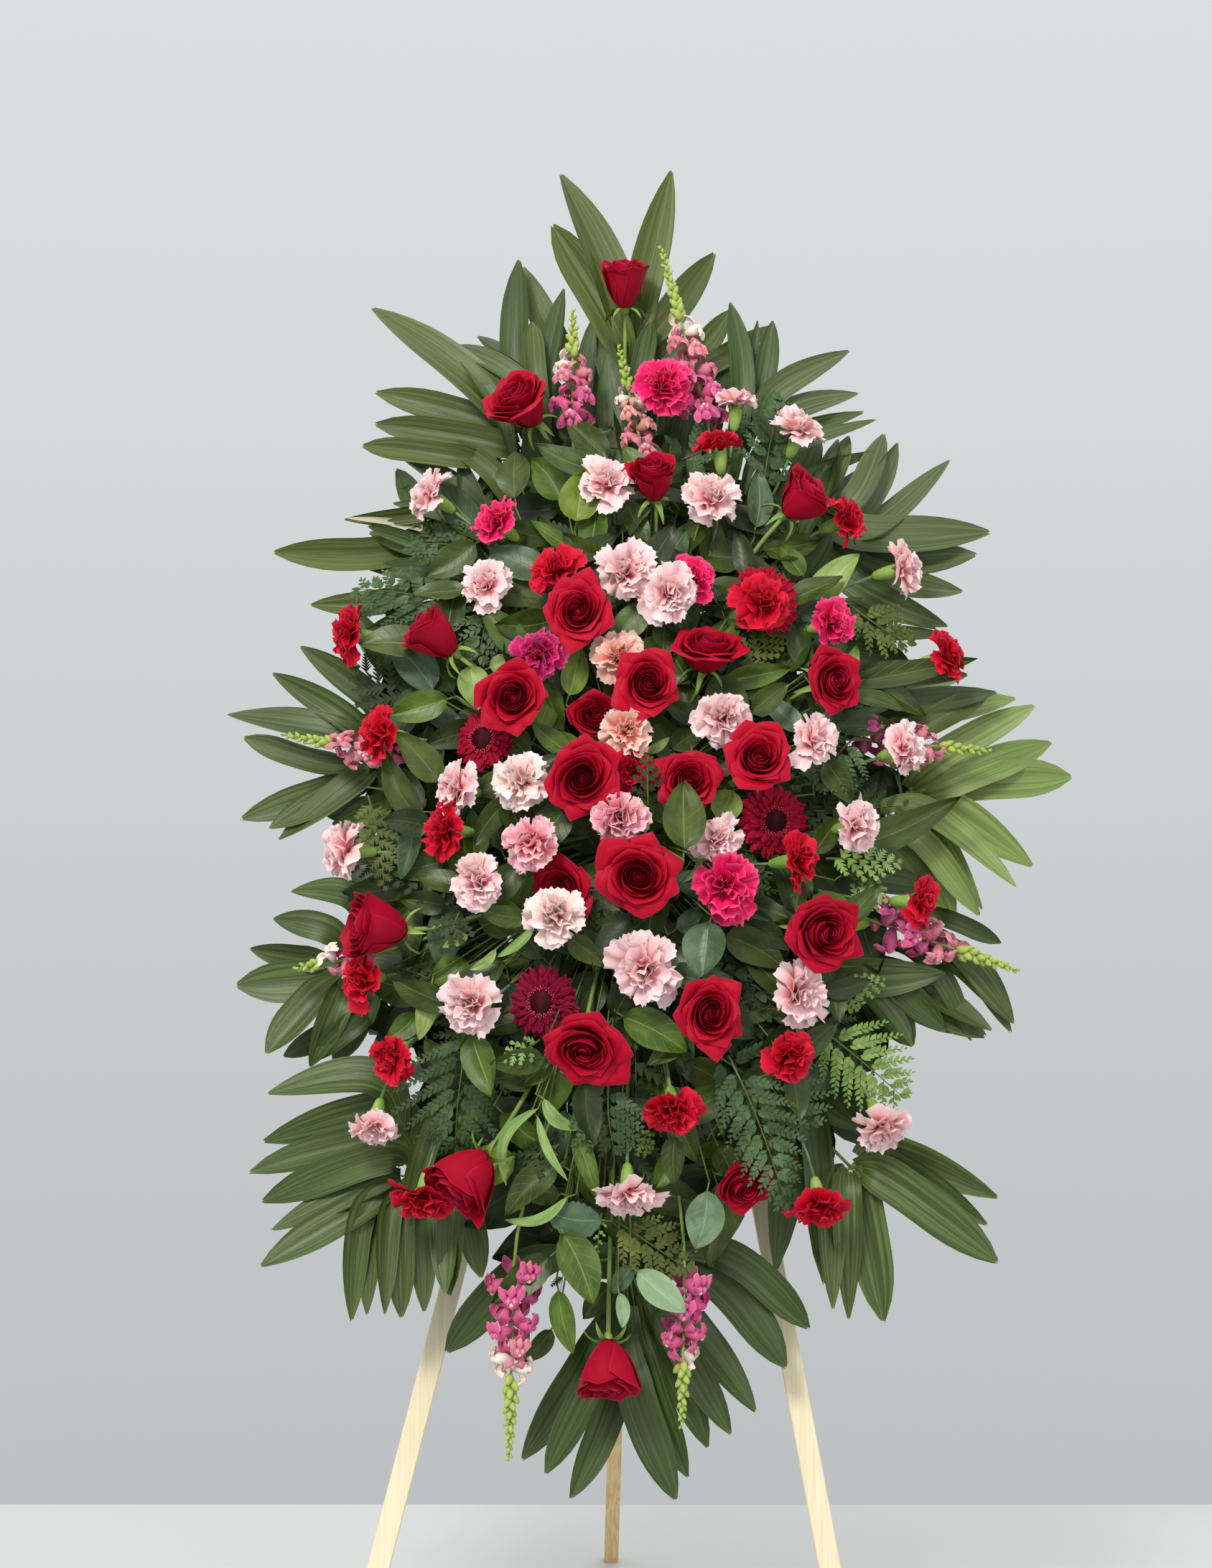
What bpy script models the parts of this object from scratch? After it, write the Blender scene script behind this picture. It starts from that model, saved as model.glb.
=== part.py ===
"""Standing funeral spray: cut flowers and palm fronds in a caged foam holder, wired to the rails
of a folding three-legged wooden easel.

Metres, +Z up, +X to the right of someone who faces the spray, who stands on the -Y side.
The origin is on the floor under the middle of the whole object.

Everything that leans with the easel's front legs is placed in the leaning frame: U runs to the
right, V up the front legs from the floor, and W straight out of them towards the viewer.
"""

import math

import bmesh
import bpy
from mathutils import Vector

# Easel
LEAN = math.radians(13.4)  # front legs, back from upright
FEET_Y = -0.2790  # front faces of the front legs at the floor
LEG_WIDTH = 0.027
LEG_DEPTH = 0.014
LEG_TOP_V = 1.440
LEFT_FOOT_U = -0.3847
RIGHT_FOOT_U = 0.2550
LEFT_SPLAY = 0.2477  # sideways run per metre up the leg
RIGHT_SPLAY = -0.1746
RAIL_HEIGHT = 0.028
RAIL_DEPTH = 0.010
UPPER_RAIL_V = 1.372
LOWER_RAIL_V = 0.828
RAIL_OVERHANG = 0.045
GAP = 0.0003  # between pieces that touch

# Head block, hinge and rear leg
HEAD_U = -0.013
HEAD_V = (1.382, 1.436)
HEAD_WIDTH = 0.062
HEAD_W = (-0.062, -LEG_DEPTH - GAP)
SLOT_WIDTH = 0.0235
SLOT_FLOOR_W = -0.034  # back face of the web that the open rear leg bears on
SCREW_V = 1.416
HINGE_V = 1.405
HINGE_W = -0.047
REAR_LEG_WIDTH = 0.021
REAR_LEG_DEPTH = 0.020
REAR_FOOT = Vector((-0.048, 0.3865, 0.0))
PIN_RADIUS = 0.003
PIN_CLEARANCE = 0.0004
SCREW_HEAD_RADIUS = 0.0065

# Foam holder
HOLDER_U = -0.030
HOLDER_V = 1.100
FOAM_WIDTH = 0.104
FOAM_LENGTH = 0.440
FOAM_FRONT_W = 0.115
WALL = 0.002
TRAY_BACK_W = RAIL_DEPTH + 2 * GAP
TRAY_RIM_W = 0.050
HANDLE_LENGTH = 0.047
HANDLE_WIDTH = 0.040
HANDLE_THICKNESS = 0.003
HANDLE_HOLE = (0.020, 0.014)
HANDLE_HOLE_OFFSET = 0.025
CAGE_BAYS = 5
STRAP_WIDTH = 0.006
WIRE_RADIUS = 0.0012

# Stems
STEM_BOTTOM_W = 0.085
STEM_START_W = 0.122
ROSE_STEM_RADIUS = 0.0028
SNAP_STEM_RADIUS = 0.0022
HOLE_CLEARANCE = 0.0004
SPREAD_U = 0.088  # how far out a stem enters the foam, as a share of how far out its flower is
SPREAD_V = 0.25
STEM_SIDES = 8

# Palm fronds
FROND_THICKNESS = 0.0016
PETIOLE_WIDTH = 0.005
PETIOLE_DEPTH_IN_FOAM = 0.018
LOWEST_FROND_W = 0.058
FROND_PITCH_W = 0.0048

# The front of the spray is a shallow dome over the leaning frame
DOME_EDGE_W = 0.12
DOME_RISE = 0.17
DOME_HALF_WIDTH = 0.50
DOME_HALF_HEIGHT = 0.75

# Roses: name, place (U, V), how far behind the dome, the way the bloom faces (U, V per W),
# width, length, and how open it is
ROSES = [
    ("rose_top", -0.030, 1.850, 0.000, 0.0, 3.5, 0.066, 0.070, "bud"),
    ("rose_upper_left", -0.165, 1.650, 0.000, -0.8, 0.6, 0.084, 0.062, "open"),
    ("rose_upper_middle", 0.005, 1.525, 0.000, 0.0, 2.2, 0.062, 0.068, "bud"),
    ("rose_upper_right", 0.195, 1.515, 0.000, 1.2, 1.0, 0.078, 0.068, "half"),
    ("rose_left_bud", -0.270, 1.320, 0.000, -1.8, 1.2, 0.068, 0.070, "bud"),
    ("rose_mid_upper_left", -0.090, 1.340, 0.000, -0.1, 0.0, 0.088, 0.060, "open"),
    ("rose_mid_upper_right", 0.070, 1.290, 0.030, 0.2, 1.2, 0.090, 0.056, "open"),
    ("rose_mid_left", -0.170, 1.230, 0.000, -0.1, -0.1, 0.090, 0.060, "open"),
    ("rose_middle", -0.005, 1.245, 0.000, 0.1, -0.1, 0.090, 0.060, "open"),
    ("rose_right", 0.225, 1.260, 0.000, 0.5, -0.1, 0.084, 0.060, "open"),
    ("rose_deep_middle", -0.068, 1.215, 0.055, 0.0, 0.2, 0.064, 0.052, "half"),
    ("rose_centre_left", -0.085, 1.125, 0.000, 0.0, -0.2, 0.096, 0.062, "open"),
    ("rose_centre", 0.043, 1.125, 0.020, 0.2, 0.0, 0.086, 0.058, "open"),
    ("rose_centre_right", 0.130, 1.153, 0.000, 0.1, 0.1, 0.090, 0.060, "open"),
    ("rose_large", -0.017, 1.003, 0.000, 0.0, -0.2, 0.104, 0.064, "open"),
    ("rose_behind_large", -0.107, 0.994, 0.050, -0.4, -0.1, 0.084, 0.058, "open"),
    ("rose_lower_right_tall", 0.210, 0.940, 0.000, 0.9, -0.3, 0.096, 0.062, "open"),
    ("rose_lower_left_side", -0.335, 0.953, 0.000, -2.4, 0.0, 0.076, 0.070, "bud"),
    ("rose_lower_left", -0.082, 0.800, 0.000, 0.0, -0.6, 0.102, 0.062, "open"),
    ("rose_lower_right", 0.068, 0.840, 0.000, 0.2, -0.1, 0.092, 0.060, "open"),
    ("rose_low_left_bud", -0.222, 0.652, 0.000, -0.9, -1.9, 0.080, 0.074, "bud"),
    ("rose_low_right", 0.110, 0.650, 0.040, 0.3, -0.9, 0.070, 0.056, "half"),
    ("rose_bottom", -0.053, 0.426, 0.000, 0.0, -3.5, 0.076, 0.072, "bud"),
]

# Share of the bloom's length, share of its half width
ROSE_OUTLINES = {
    "open": [(0.10, 0.26), (0.22, 0.62), (0.50, 0.92), (0.84, 1.00), (0.95, 0.70), (0.86, 0.28)],
    "half": [(0.10, 0.30), (0.25, 0.70), (0.55, 1.00), (0.86, 0.88), (0.98, 0.55), (0.92, 0.22)],
    "bud": [(0.08, 0.30), (0.22, 0.72), (0.50, 1.00), (0.78, 0.86), (0.95, 0.52), (0.97, 0.20)],
}

# Gerberas: name, place, how far behind the dome, facing, width
GERBERAS = [
    ("gerbera_upper_right", 0.146, 1.372, 0.020, 0.4, 0.1, 0.101),
    ("gerbera_left", -0.208, 1.194, 0.058, -0.5, 0.0, 0.086),
    ("gerbera_right", 0.153, 1.090, 0.062, 0.3, -0.2, 0.100),
    ("gerbera_lower_left", -0.133, 0.862, 0.058, -0.3, -0.1, 0.094),
]
GERBERA_LENGTH = 0.022

# Snapdragons: name, where the lowest floret starts, the tip of the spike, widest radius
SNAPDRAGONS = [
    ("snapdragon_top_left", (-0.100, 1.645), (-0.100, 1.800), 0.018),
    ("snapdragon_top_middle", (-0.007, 1.600), (-0.040, 1.750), 0.013),
    ("snapdragon_top_right", (0.078, 1.647), (0.017, 1.892), 0.017),
    ("snapdragon_left", (-0.300, 1.186), (-0.472, 1.215), 0.015),
    ("snapdragon_right", (0.276, 1.211), (0.436, 1.192), 0.015),
    ("snapdragon_lower_right", (0.283, 0.974), (0.461, 0.909), 0.016),
    ("snapdragon_lower_left", (-0.358, 0.930), (-0.447, 0.912), 0.013),
    ("snapdragon_bottom_left", (-0.168, 0.548), (-0.172, 0.317), 0.020),
    ("snapdragon_bottom_right", (0.040, 0.538), (0.035, 0.354), 0.019),
]
SNAP_W = 0.143
SNAP_TIP_RADIUS = 0.003
SNAP_TIERS = 4

# Palm fronds, from the back layer to the front: name, hub where the leaflets meet, side and
# height where the petiole enters the foam, and each leaflet's direction in degrees and length
FRONDS = [
    ("palm_top", (-0.030, 1.760), ("top", 0.0),
     [(16, 0.205), (30, 0.165), (54, 0.210), (77, 0.293), (108, 0.295), (117, 0.230),
      (135, 0.195)]),
    ("palm_bottom", (-0.030, 0.560), ("bottom", 0.0),
     [(208, 0.250), (242, 0.278), (249, 0.278), (257, 0.298), (282, 0.298), (288, 0.275),
      (294, 0.250), (301, 0.250), (310, 0.246), (326, 0.240), (339, 0.245)]),
    ("palm_left", (-0.350, 1.210), ("left", 1.188),
     [(127, 0.182), (142, 0.187), (165, 0.212), (174, 0.181), (205, 0.202), (217, 0.176),
      (223, 0.175)]),
    ("palm_right", (0.330, 1.150), ("right", 1.100),
     [(291, 0.175), (305, 0.178), (332, 0.192), (8, 0.227), (22, 0.216), (35, 0.222),
      (43, 0.205), (62, 0.184)]),
    ("palm_upper_left", (-0.170, 1.620), ("left", 1.276),
     [(119, 0.186), (134, 0.293), (155, 0.220), (165, 0.207), (175, 0.216), (205, 0.355),
      (215, 0.345)]),
    ("palm_upper_right", (0.200, 1.560), ("right", 1.276),
     [(317, 0.266), (329, 0.254), (340, 0.250), (348, 0.261), (16, 0.218), (28, 0.152),
      (37, 0.146), (51, 0.111), (60, 0.169), (70, 0.211)]),
    ("palm_lower_left", (-0.380, 0.930), ("left", 1.012),
     [(131, 0.128), (151, 0.118), (171, 0.134), (191, 0.151), (229, 0.158), (250, 0.143),
      (260, 0.127)]),
    ("palm_lower_right", (0.300, 0.920), ("right", 1.012),
     [(290, 0.102), (317, 0.115), (326, 0.152), (337, 0.175)]),
    ("palm_bottom_left", (-0.300, 0.660), ("left", 0.924),
     [(151, 0.207), (167, 0.193), (179, 0.204), (189, 0.190), (201, 0.186), (212, 0.213),
      (249, 0.192), (254, 0.178), (261, 0.173), (267, 0.175), (277, 0.169), (288, 0.154),
      (306, 0.155)]),
    ("palm_bottom_right", (0.250, 0.670), ("right", 0.924),
     [(261, 0.178), (268, 0.187), (281, 0.192), (327, 0.216), (337, 0.183), (349, 0.190)]),
]
LEAFLET_HALF_WIDTH = 0.016


def clear_scene():
    for obj in list(bpy.data.objects):
        bpy.data.objects.remove(obj)


def material(name, colour, roughness, metallic=0.0):
    mat = bpy.data.materials.new(name)
    mat.use_nodes = True
    shader = mat.node_tree.nodes["Principled BSDF"]
    shader.inputs["Base Color"].default_value = (*colour, 1.0)
    shader.inputs["Roughness"].default_value = roughness
    shader.inputs["Metallic"].default_value = metallic
    return mat


def leaning_frame():
    """The empty whose X, Y and Z are U, V and W."""
    frame = bpy.data.objects.new("leaning_frame", None)
    frame.location = (0.0, FEET_Y, 0.0)
    frame.rotation_euler = (math.pi / 2 - LEAN, 0.0, 0.0)
    bpy.context.collection.objects.link(frame)
    return frame


def add(name, bm, mat, parent, smooth=False):
    """Make the object that shows a bmesh, with its faces pointing out."""
    bmesh.ops.recalc_face_normals(bm, faces=bm.faces)
    mesh = bpy.data.meshes.new(name)
    bm.to_mesh(mesh)
    bm.free()
    mesh.materials.append(mat)
    if smooth:
        mesh.shade_smooth()
        mesh.set_sharp_from_angle(angle=math.radians(50))
    obj = bpy.data.objects.new(name, mesh)
    obj.parent = parent
    bpy.context.collection.objects.link(obj)
    return obj


def loft(bm, rings):
    """Join rings of equally many points into one closed tube with flat ends."""
    loops = [[bm.verts.new(point) for point in ring] for ring in rings]
    for lower, upper in zip(loops, loops[1:]):
        for i in range(len(lower)):
            j = (i + 1) % len(lower)
            bm.faces.new((lower[i], lower[j], upper[j], upper[i]))
    bm.faces.new(list(reversed(loops[0])))
    bm.faces.new(loops[-1])


def box(bm, low, high):
    """Add a closed box from its low corner to its high one."""
    rings = [[(low[0], low[1], z), (high[0], low[1], z), (high[0], high[1], z),
              (low[0], high[1], z)] for z in (low[2], high[2])]
    loft(bm, rings)


def cylinder(bm, start, end, radius, sides):
    """Add a closed prism whose flats stand at the given radius from the line start-end."""
    start = Vector(start)
    end = Vector(end)
    turn = (end - start).to_track_quat("Z", "Y")
    reach = radius / math.cos(math.pi / sides)
    ring = [turn @ Vector((reach * math.cos(a), reach * math.sin(a), 0.0))
            for a in (2 * math.pi * i / sides for i in range(sides))]
    loft(bm, [[start + point for point in ring], [end + point for point in ring]])


def bevel(obj, width):
    modifier = obj.modifiers.new("edges", "BEVEL")
    modifier.width = width
    modifier.segments = 1
    modifier.limit_method = "ANGLE"


def cut(obj, bm, name, parent):
    """Cut the closed shapes of a bmesh out of an object."""
    tool = add(name, bm, obj.data.materials[0], parent)
    tool.hide_render = True
    tool.display_type = "WIRE"
    modifier = obj.modifiers.new(name, "BOOLEAN")
    modifier.operation = "DIFFERENCE"
    modifier.solver = "EXACT"
    modifier.object = tool


def leg_centre(foot_u, splay, v):
    return foot_u + splay * v


def front_leg(name, foot_u, splay, wood, frame):
    """A front leg: its foot is cut level with the floor and its top square to the frame."""
    half = LEG_WIDTH / 2 * math.hypot(1.0, splay)
    rings = []
    for w in (-LEG_DEPTH, 0.0):
        foot_v = -w * math.tan(LEAN)
        rings.append([
            (leg_centre(foot_u, splay, foot_v) - half, foot_v, w),
            (leg_centre(foot_u, splay, foot_v) + half, foot_v, w),
            (leg_centre(foot_u, splay, LEG_TOP_V) + half, LEG_TOP_V, w),
            (leg_centre(foot_u, splay, LEG_TOP_V) - half, LEG_TOP_V, w),
        ])
    bm = bmesh.new()
    loft(bm, rings)
    leg = add(name, bm, wood, frame)
    bevel(leg, 0.001)
    holes = bmesh.new()
    u = leg_centre(foot_u, splay, SCREW_V)
    cylinder(holes, (u, SCREW_V, -0.03), (u, SCREW_V, 0.02), PIN_RADIUS + PIN_CLEARANCE, 12)
    cut(leg, holes, name + "_hole", frame)
    return leg


def rail(name, v, wood, frame):
    """A flat rail screwed across the front of both legs."""
    low_u = leg_centre(LEFT_FOOT_U, LEFT_SPLAY, v) - RAIL_OVERHANG
    high_u = leg_centre(RIGHT_FOOT_U, RIGHT_SPLAY, v) + RAIL_OVERHANG
    bm = bmesh.new()
    box(bm, (low_u, v - RAIL_HEIGHT / 2, GAP), (high_u, v + RAIL_HEIGHT / 2, GAP + RAIL_DEPTH))
    bevel(add(name, bm, wood, frame), 0.001)


def head_block(wood, frame):
    """The block behind the legs' tops, slotted at the back for the rear leg."""
    bm = bmesh.new()
    box(bm, (HEAD_U - HEAD_WIDTH / 2, HEAD_V[0], HEAD_W[0]),
        (HEAD_U + HEAD_WIDTH / 2, HEAD_V[1], HEAD_W[1]))
    block = add("head_block", bm, wood, frame)
    bevel(block, 0.0015)
    slot = bmesh.new()
    box(slot, (HEAD_U - SLOT_WIDTH / 2, HEAD_V[0] - 0.01, HEAD_W[0] - 0.01),
        (HEAD_U + SLOT_WIDTH / 2, HEAD_V[1] + 0.01, SLOT_FLOOR_W))
    cut(block, slot, "head_slot", frame)
    bores = bmesh.new()
    reach = HEAD_WIDTH
    cylinder(bores, (HEAD_U - reach, HINGE_V, HINGE_W), (HEAD_U + reach, HINGE_V, HINGE_W),
             PIN_RADIUS + PIN_CLEARANCE, 16)
    cut(block, bores, "head_pin_bore", frame)
    holes = bmesh.new()
    for foot_u, splay in ((LEFT_FOOT_U, LEFT_SPLAY), (RIGHT_FOOT_U, RIGHT_SPLAY)):
        u = leg_centre(foot_u, splay, SCREW_V)
        cylinder(holes, (u, SCREW_V, SLOT_FLOOR_W + 0.003), (u, SCREW_V, 0.02),
                 PIN_RADIUS + PIN_CLEARANCE, 12)
    cut(block, holes, "head_screw_holes", frame)


def leg_screw(name, foot_u, splay, steel, frame):
    """A round-headed screw through a front leg's top into the head block."""
    u = leg_centre(foot_u, splay, SCREW_V)
    profile = [(SLOT_FLOOR_W + 0.004, PIN_RADIUS), (GAP, PIN_RADIUS), (GAP, SCREW_HEAD_RADIUS),
               (0.002, SCREW_HEAD_RADIUS), (0.0042, SCREW_HEAD_RADIUS * 0.55)]
    bm = bmesh.new()
    loft(bm, [ring_points(Vector((u, SCREW_V, w)), Vector((0, 0, 1)), radius, 12)
              for w, radius in profile])
    add(name, bm, steel, frame, smooth=True)


def hinge_bolt(steel, frame):
    """The bolt that the rear leg turns on, headed at both ends outside the block's cheeks."""
    cheek = HEAD_WIDTH / 2 + GAP
    profile = [(-cheek - 0.004, 0.006), (-cheek, 0.006), (-cheek, PIN_RADIUS),
               (cheek, PIN_RADIUS), (cheek, 0.006), (cheek + 0.004, 0.006)]
    bm = bmesh.new()
    loft(bm, [ring_points(Vector((HEAD_U + u, HINGE_V, HINGE_W)), Vector((1, 0, 0)), radius, 16)
              for u, radius in profile])
    add("hinge_bolt", bm, steel, frame, smooth=True)


def hinge_point(frame):
    return frame.matrix_basis @ Vector((HEAD_U, HINGE_V, HINGE_W))


def rear_leg(wood, frame):
    """The rear leg, hung from an empty on the hinge axis, with its top corner cut to the web.

    A runs up the leg from the pin and B forwards, square to it. Open, the cut corner lies along
    the web of the head block; the foot is cut level with the floor.
    """
    hinge = bpy.data.objects.new("hinge_axis", None)
    hinge.location = hinge_point(frame)
    bpy.context.collection.objects.link(hinge)
    drop = REAR_FOOT - hinge.location
    back = math.atan2(drop.y, -drop.z)
    side = drop.x / -drop.z
    half = REAR_LEG_DEPTH / 2
    open_angle = LEAN + back
    web = SLOT_FLOOR_W - HINGE_W - GAP

    def bearing(a):
        return (web - a * math.sin(open_angle)) / math.cos(open_angle)

    corner = (web - half * math.cos(open_angle)) / math.sin(open_angle)
    top = 0.026
    length = -drop.z / math.cos(back)
    foot = half * math.tan(back)
    outline = [(foot - length, half), (corner, half), (top, bearing(top)), (top, -half * 0.6),
               (top - 0.006, -half), (-foot - length, -half)]
    bm = bmesh.new()
    rings = []
    for x in (-REAR_LEG_WIDTH / 2, REAR_LEG_WIDTH / 2):
        ring = []
        for a, b in outline:
            y = -a * math.sin(back) - b * math.cos(back)
            z = a * math.cos(back) - b * math.sin(back)
            ring.append((x - side * z, y, z))
        rings.append(ring)
    loft(bm, rings)
    leg = add("rear_leg", bm, wood, hinge)
    bore = bmesh.new()
    cylinder(bore, (-HEAD_WIDTH, 0, 0), (HEAD_WIDTH, 0, 0), PIN_RADIUS + PIN_CLEARANCE, 16)
    cut(leg, bore, "rear_leg_bore", hinge)


def holder_tray(plastic, frame):
    """The open tray that holds the foam, with a pierced handle at each end."""
    half_u = FOAM_WIDTH / 2 + GAP + WALL
    half_v = FOAM_LENGTH / 2 + GAP + WALL
    bm = bmesh.new()
    box(bm, (HOLDER_U - half_u, HOLDER_V - half_v, TRAY_BACK_W),
        (HOLDER_U + half_u, HOLDER_V + half_v, TRAY_RIM_W))
    tray = add("holder_tray", bm, plastic, frame)
    for name, side in (("upper", 1), ("lower", -1)):
        ends = sorted((HOLDER_V + side * (half_v - WALL), HOLDER_V + side * (half_v + HANDLE_LENGTH)))
        grip = bmesh.new()
        box(grip, (HOLDER_U - HANDLE_WIDTH / 2 + 0.015, ends[0], TRAY_BACK_W),
            (HOLDER_U + HANDLE_WIDTH / 2 + 0.015, ends[1], TRAY_BACK_W + HANDLE_THICKNESS))
        handle = add(name + "_handle", grip, plastic, frame)
        handle.hide_render = True
        handle.display_type = "WIRE"
        joint = tray.modifiers.new(name + "_handle", "BOOLEAN")
        joint.operation = "UNION"
        joint.solver = "EXACT"
        joint.object = handle
    pocket = bmesh.new()
    box(pocket, (HOLDER_U - half_u + WALL, HOLDER_V - half_v + WALL, TRAY_BACK_W + HANDLE_THICKNESS),
        (HOLDER_U + half_u - WALL, HOLDER_V + half_v - WALL, TRAY_RIM_W + 0.01))
    cut(tray, pocket, "tray_pocket", frame)
    eyes = bmesh.new()
    for side in (-1, 1):
        v = HOLDER_V + side * (half_v + HANDLE_HOLE_OFFSET)
        box(eyes, (HOLDER_U + 0.015 - HANDLE_HOLE[0] / 2, v - HANDLE_HOLE[1] / 2, 0.0),
            (HOLDER_U + 0.015 + HANDLE_HOLE[0] / 2, v + HANDLE_HOLE[1] / 2, 0.03))
    cut(tray, eyes, "handle_eyes", frame)


def cage_cover(plastic, frame):
    """The snap-on cage over the foam: a channel with windows between its straps."""
    inner = FOAM_WIDTH / 2 + GAP
    outer = inner + WALL
    top = FOAM_FRONT_W + GAP + WALL
    half_v = FOAM_LENGTH / 2 + GAP
    skirt = TRAY_RIM_W + GAP
    section = [(-outer, skirt), (-outer, top), (outer, top), (outer, skirt), (inner, skirt),
               (inner, top - WALL), (-inner, top - WALL), (-inner, skirt)]
    bm = bmesh.new()
    loft(bm, [[(HOLDER_U + u, HOLDER_V + v, w) for u, w in section] for v in (-half_v, half_v)])
    cover = add("cage_cover", bm, plastic, frame)
    pitch = 2 * half_v / CAGE_BAYS
    front = bmesh.new()
    sides = bmesh.new()
    for bay in range(CAGE_BAYS):
        middle = HOLDER_V - half_v + pitch * (bay + 0.5)
        reach = (pitch - STRAP_WIDTH) / 2
        box(front, (HOLDER_U - inner + 0.003, middle - reach, top - WALL - 0.004),
            (HOLDER_U + inner - 0.003, middle + reach, top + 0.004))
        box(sides, (HOLDER_U - outer - 0.01, middle - reach, skirt + 0.004),
            (HOLDER_U + outer + 0.01, middle + reach, top - WALL - 0.003))
    cut(cover, front, "front_windows", frame)
    cut(cover, sides, "side_windows", frame)


def wire_tie(name, side, rail_v, wire, frame):
    """A closed loop of wire through a handle's eye and round the rail beside it."""
    eye_v = HOLDER_V + side * (FOAM_LENGTH / 2 + GAP + WALL + HANDLE_HOLE_OFFSET)
    inner_v = eye_v + side * 0.0010
    outer_v = rail_v + side * (RAIL_HEIGHT / 2 + 0.0045)
    back_w = -0.0030
    front_w = TRAY_BACK_W + HANDLE_THICKNESS + 0.0028
    curve = bpy.data.curves.new(name, "CURVE")
    curve.dimensions = "3D"
    curve.bevel_depth = WIRE_RADIUS
    curve.bevel_resolution = 1
    curve.use_fill_caps = True
    spline = curve.splines.new("POLY")
    corner = 0.003
    points = []
    for centre_v, centre_w, first in ((outer_v - side * corner, front_w - corner, 0),
                                      (outer_v - side * corner, back_w + corner, 1),
                                      (inner_v + side * corner, back_w + corner, 2),
                                      (inner_v + side * corner, front_w - corner, 3)):
        for step in range(3):
            angle = math.pi / 2 * (1 - first) - math.pi / 4 * step
            points.append((centre_v + side * corner * math.cos(angle),
                           centre_w + corner * math.sin(angle)))
    spline.points.add(len(points) - 1)
    for point, (v, w) in zip(spline.points, points):
        point.co = (HOLDER_U + 0.015, v, w, 1.0)
    spline.use_cyclic_u = True
    curve.materials.append(wire)
    tie = bpy.data.objects.new(name, curve)
    tie.parent = frame
    bpy.context.collection.objects.link(tie)


def ring_points(centre, along, radius, sides):
    """Points of a circle about a line through centre."""
    turn = along.to_track_quat("Z", "Y")
    angles = [2 * math.pi * i / sides for i in range(sides)]
    return [centre + turn @ Vector((radius * math.cos(a), radius * math.sin(a), 0.0))
            for a in angles]


def sweep(stations, sides):
    """Rings along a path, each carried over from the last without twisting."""
    centres = [centre for centre, radius in stations]
    rings = []
    across = Vector((0, 1, 0))
    for i, (centre, radius) in enumerate(stations):
        before = centres[max(i - 1, 0)]
        after = centres[min(i + 1, len(centres) - 1)]
        along = (after - before)
        if along.length < 1e-6:
            along = centre - before
        along.normalize()
        across = (across - along * across.dot(along)).normalized()
        other = along.cross(across)
        rings.append([
            centre + radius * (math.cos(a) * across + math.sin(a) * other)
            for a in (2 * math.pi * k / sides for k in range(sides))
        ])
    return rings


def dome(u, v):
    """How far the front of the spray stands out at a place."""
    fall = ((u - HOLDER_U) / DOME_HALF_WIDTH) ** 2 + ((v - HOLDER_V) / DOME_HALF_HEIGHT) ** 2
    return DOME_EDGE_W + DOME_RISE * max(0.0, 1.0 - fall)


def stem_entry(u, v):
    """Where the stem of a flower at (u, v) enters the foam, clear of the cage's straps."""
    entry_u = HOLDER_U + SPREAD_U * (u - HOLDER_U)
    offset = SPREAD_V * (v - HOLDER_V)
    pitch = FOAM_LENGTH / CAGE_BAYS
    bay = math.floor(offset / pitch + 0.5)
    margin = pitch / 2 - STRAP_WIDTH / 2 - 0.006
    offset = bay * pitch + max(-margin, min(margin, offset - bay * pitch))
    return entry_u, HOLDER_V + offset


def stem_path(entry, base, facing, steps=5):
    """Points of a stem that rises straight from the foam and bends over to its flower."""
    start = Vector((*entry, STEM_START_W))
    reach = (base - start).length
    pulls = [start, start + Vector((0, 0, 1)) * min(0.30 * reach, 0.07),
             base - facing * 0.33 * reach, base]
    points = [Vector((*entry, STEM_BOTTOM_W))]
    for step in range(steps + 1):
        t = step / steps
        weights = ((1 - t) ** 3, 3 * t * (1 - t) ** 2, 3 * t * t * (1 - t), t ** 3)
        points.append(sum((p * k for p, k in zip(pulls, weights)), Vector()))
    return points


def flower(name, u, v, sink, facing_u, facing_v, length, outline, mat, frame, sides):
    """One bloom on its stem, as one closed body. Returns where its stem enters the foam."""
    facing = Vector((facing_u, facing_v, 1.0)).normalized()
    centre = Vector((u, v, dome(u, v) - sink))
    base = centre - facing * length / 2
    entry = stem_entry(u, v)
    stations = [(point, ROSE_STEM_RADIUS) for point in stem_path(entry, base, facing)]
    along = [(base + facing * share * length, radius) for share, radius in outline]
    rings = sweep(stations, sides)
    turn_across = (rings[-1][0] - stations[-1][0]).normalized()
    other = facing.cross(turn_across)
    for point, radius in along:
        rings.append([point + radius * (math.cos(a) * turn_across + math.sin(a) * other)
                      for a in (2 * math.pi * k / sides for k in range(sides))])
    bm = bmesh.new()
    loft(bm, rings)
    add(name, bm, mat, frame, smooth=True)
    return entry


def rose(row, mat, frame):
    name, u, v, sink, facing_u, facing_v, width, length, kind = row
    outline = [(share, radius * width / 2) for share, radius in ROSE_OUTLINES[kind]]
    return flower(name, u, v, sink, facing_u, facing_v, length, outline, mat, frame, STEM_SIDES)


def gerbera(row, mat, frame):
    name, u, v, sink, facing_u, facing_v, width = row
    outline = [(0.25, 0.010), (0.50, 0.016), (0.72, width / 2), (0.86, width / 2),
               (0.80, 0.020), (1.0, 0.011)]
    return flower(name, u, v, sink, facing_u, facing_v, GERBERA_LENGTH, outline, mat, frame, 12)


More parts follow.
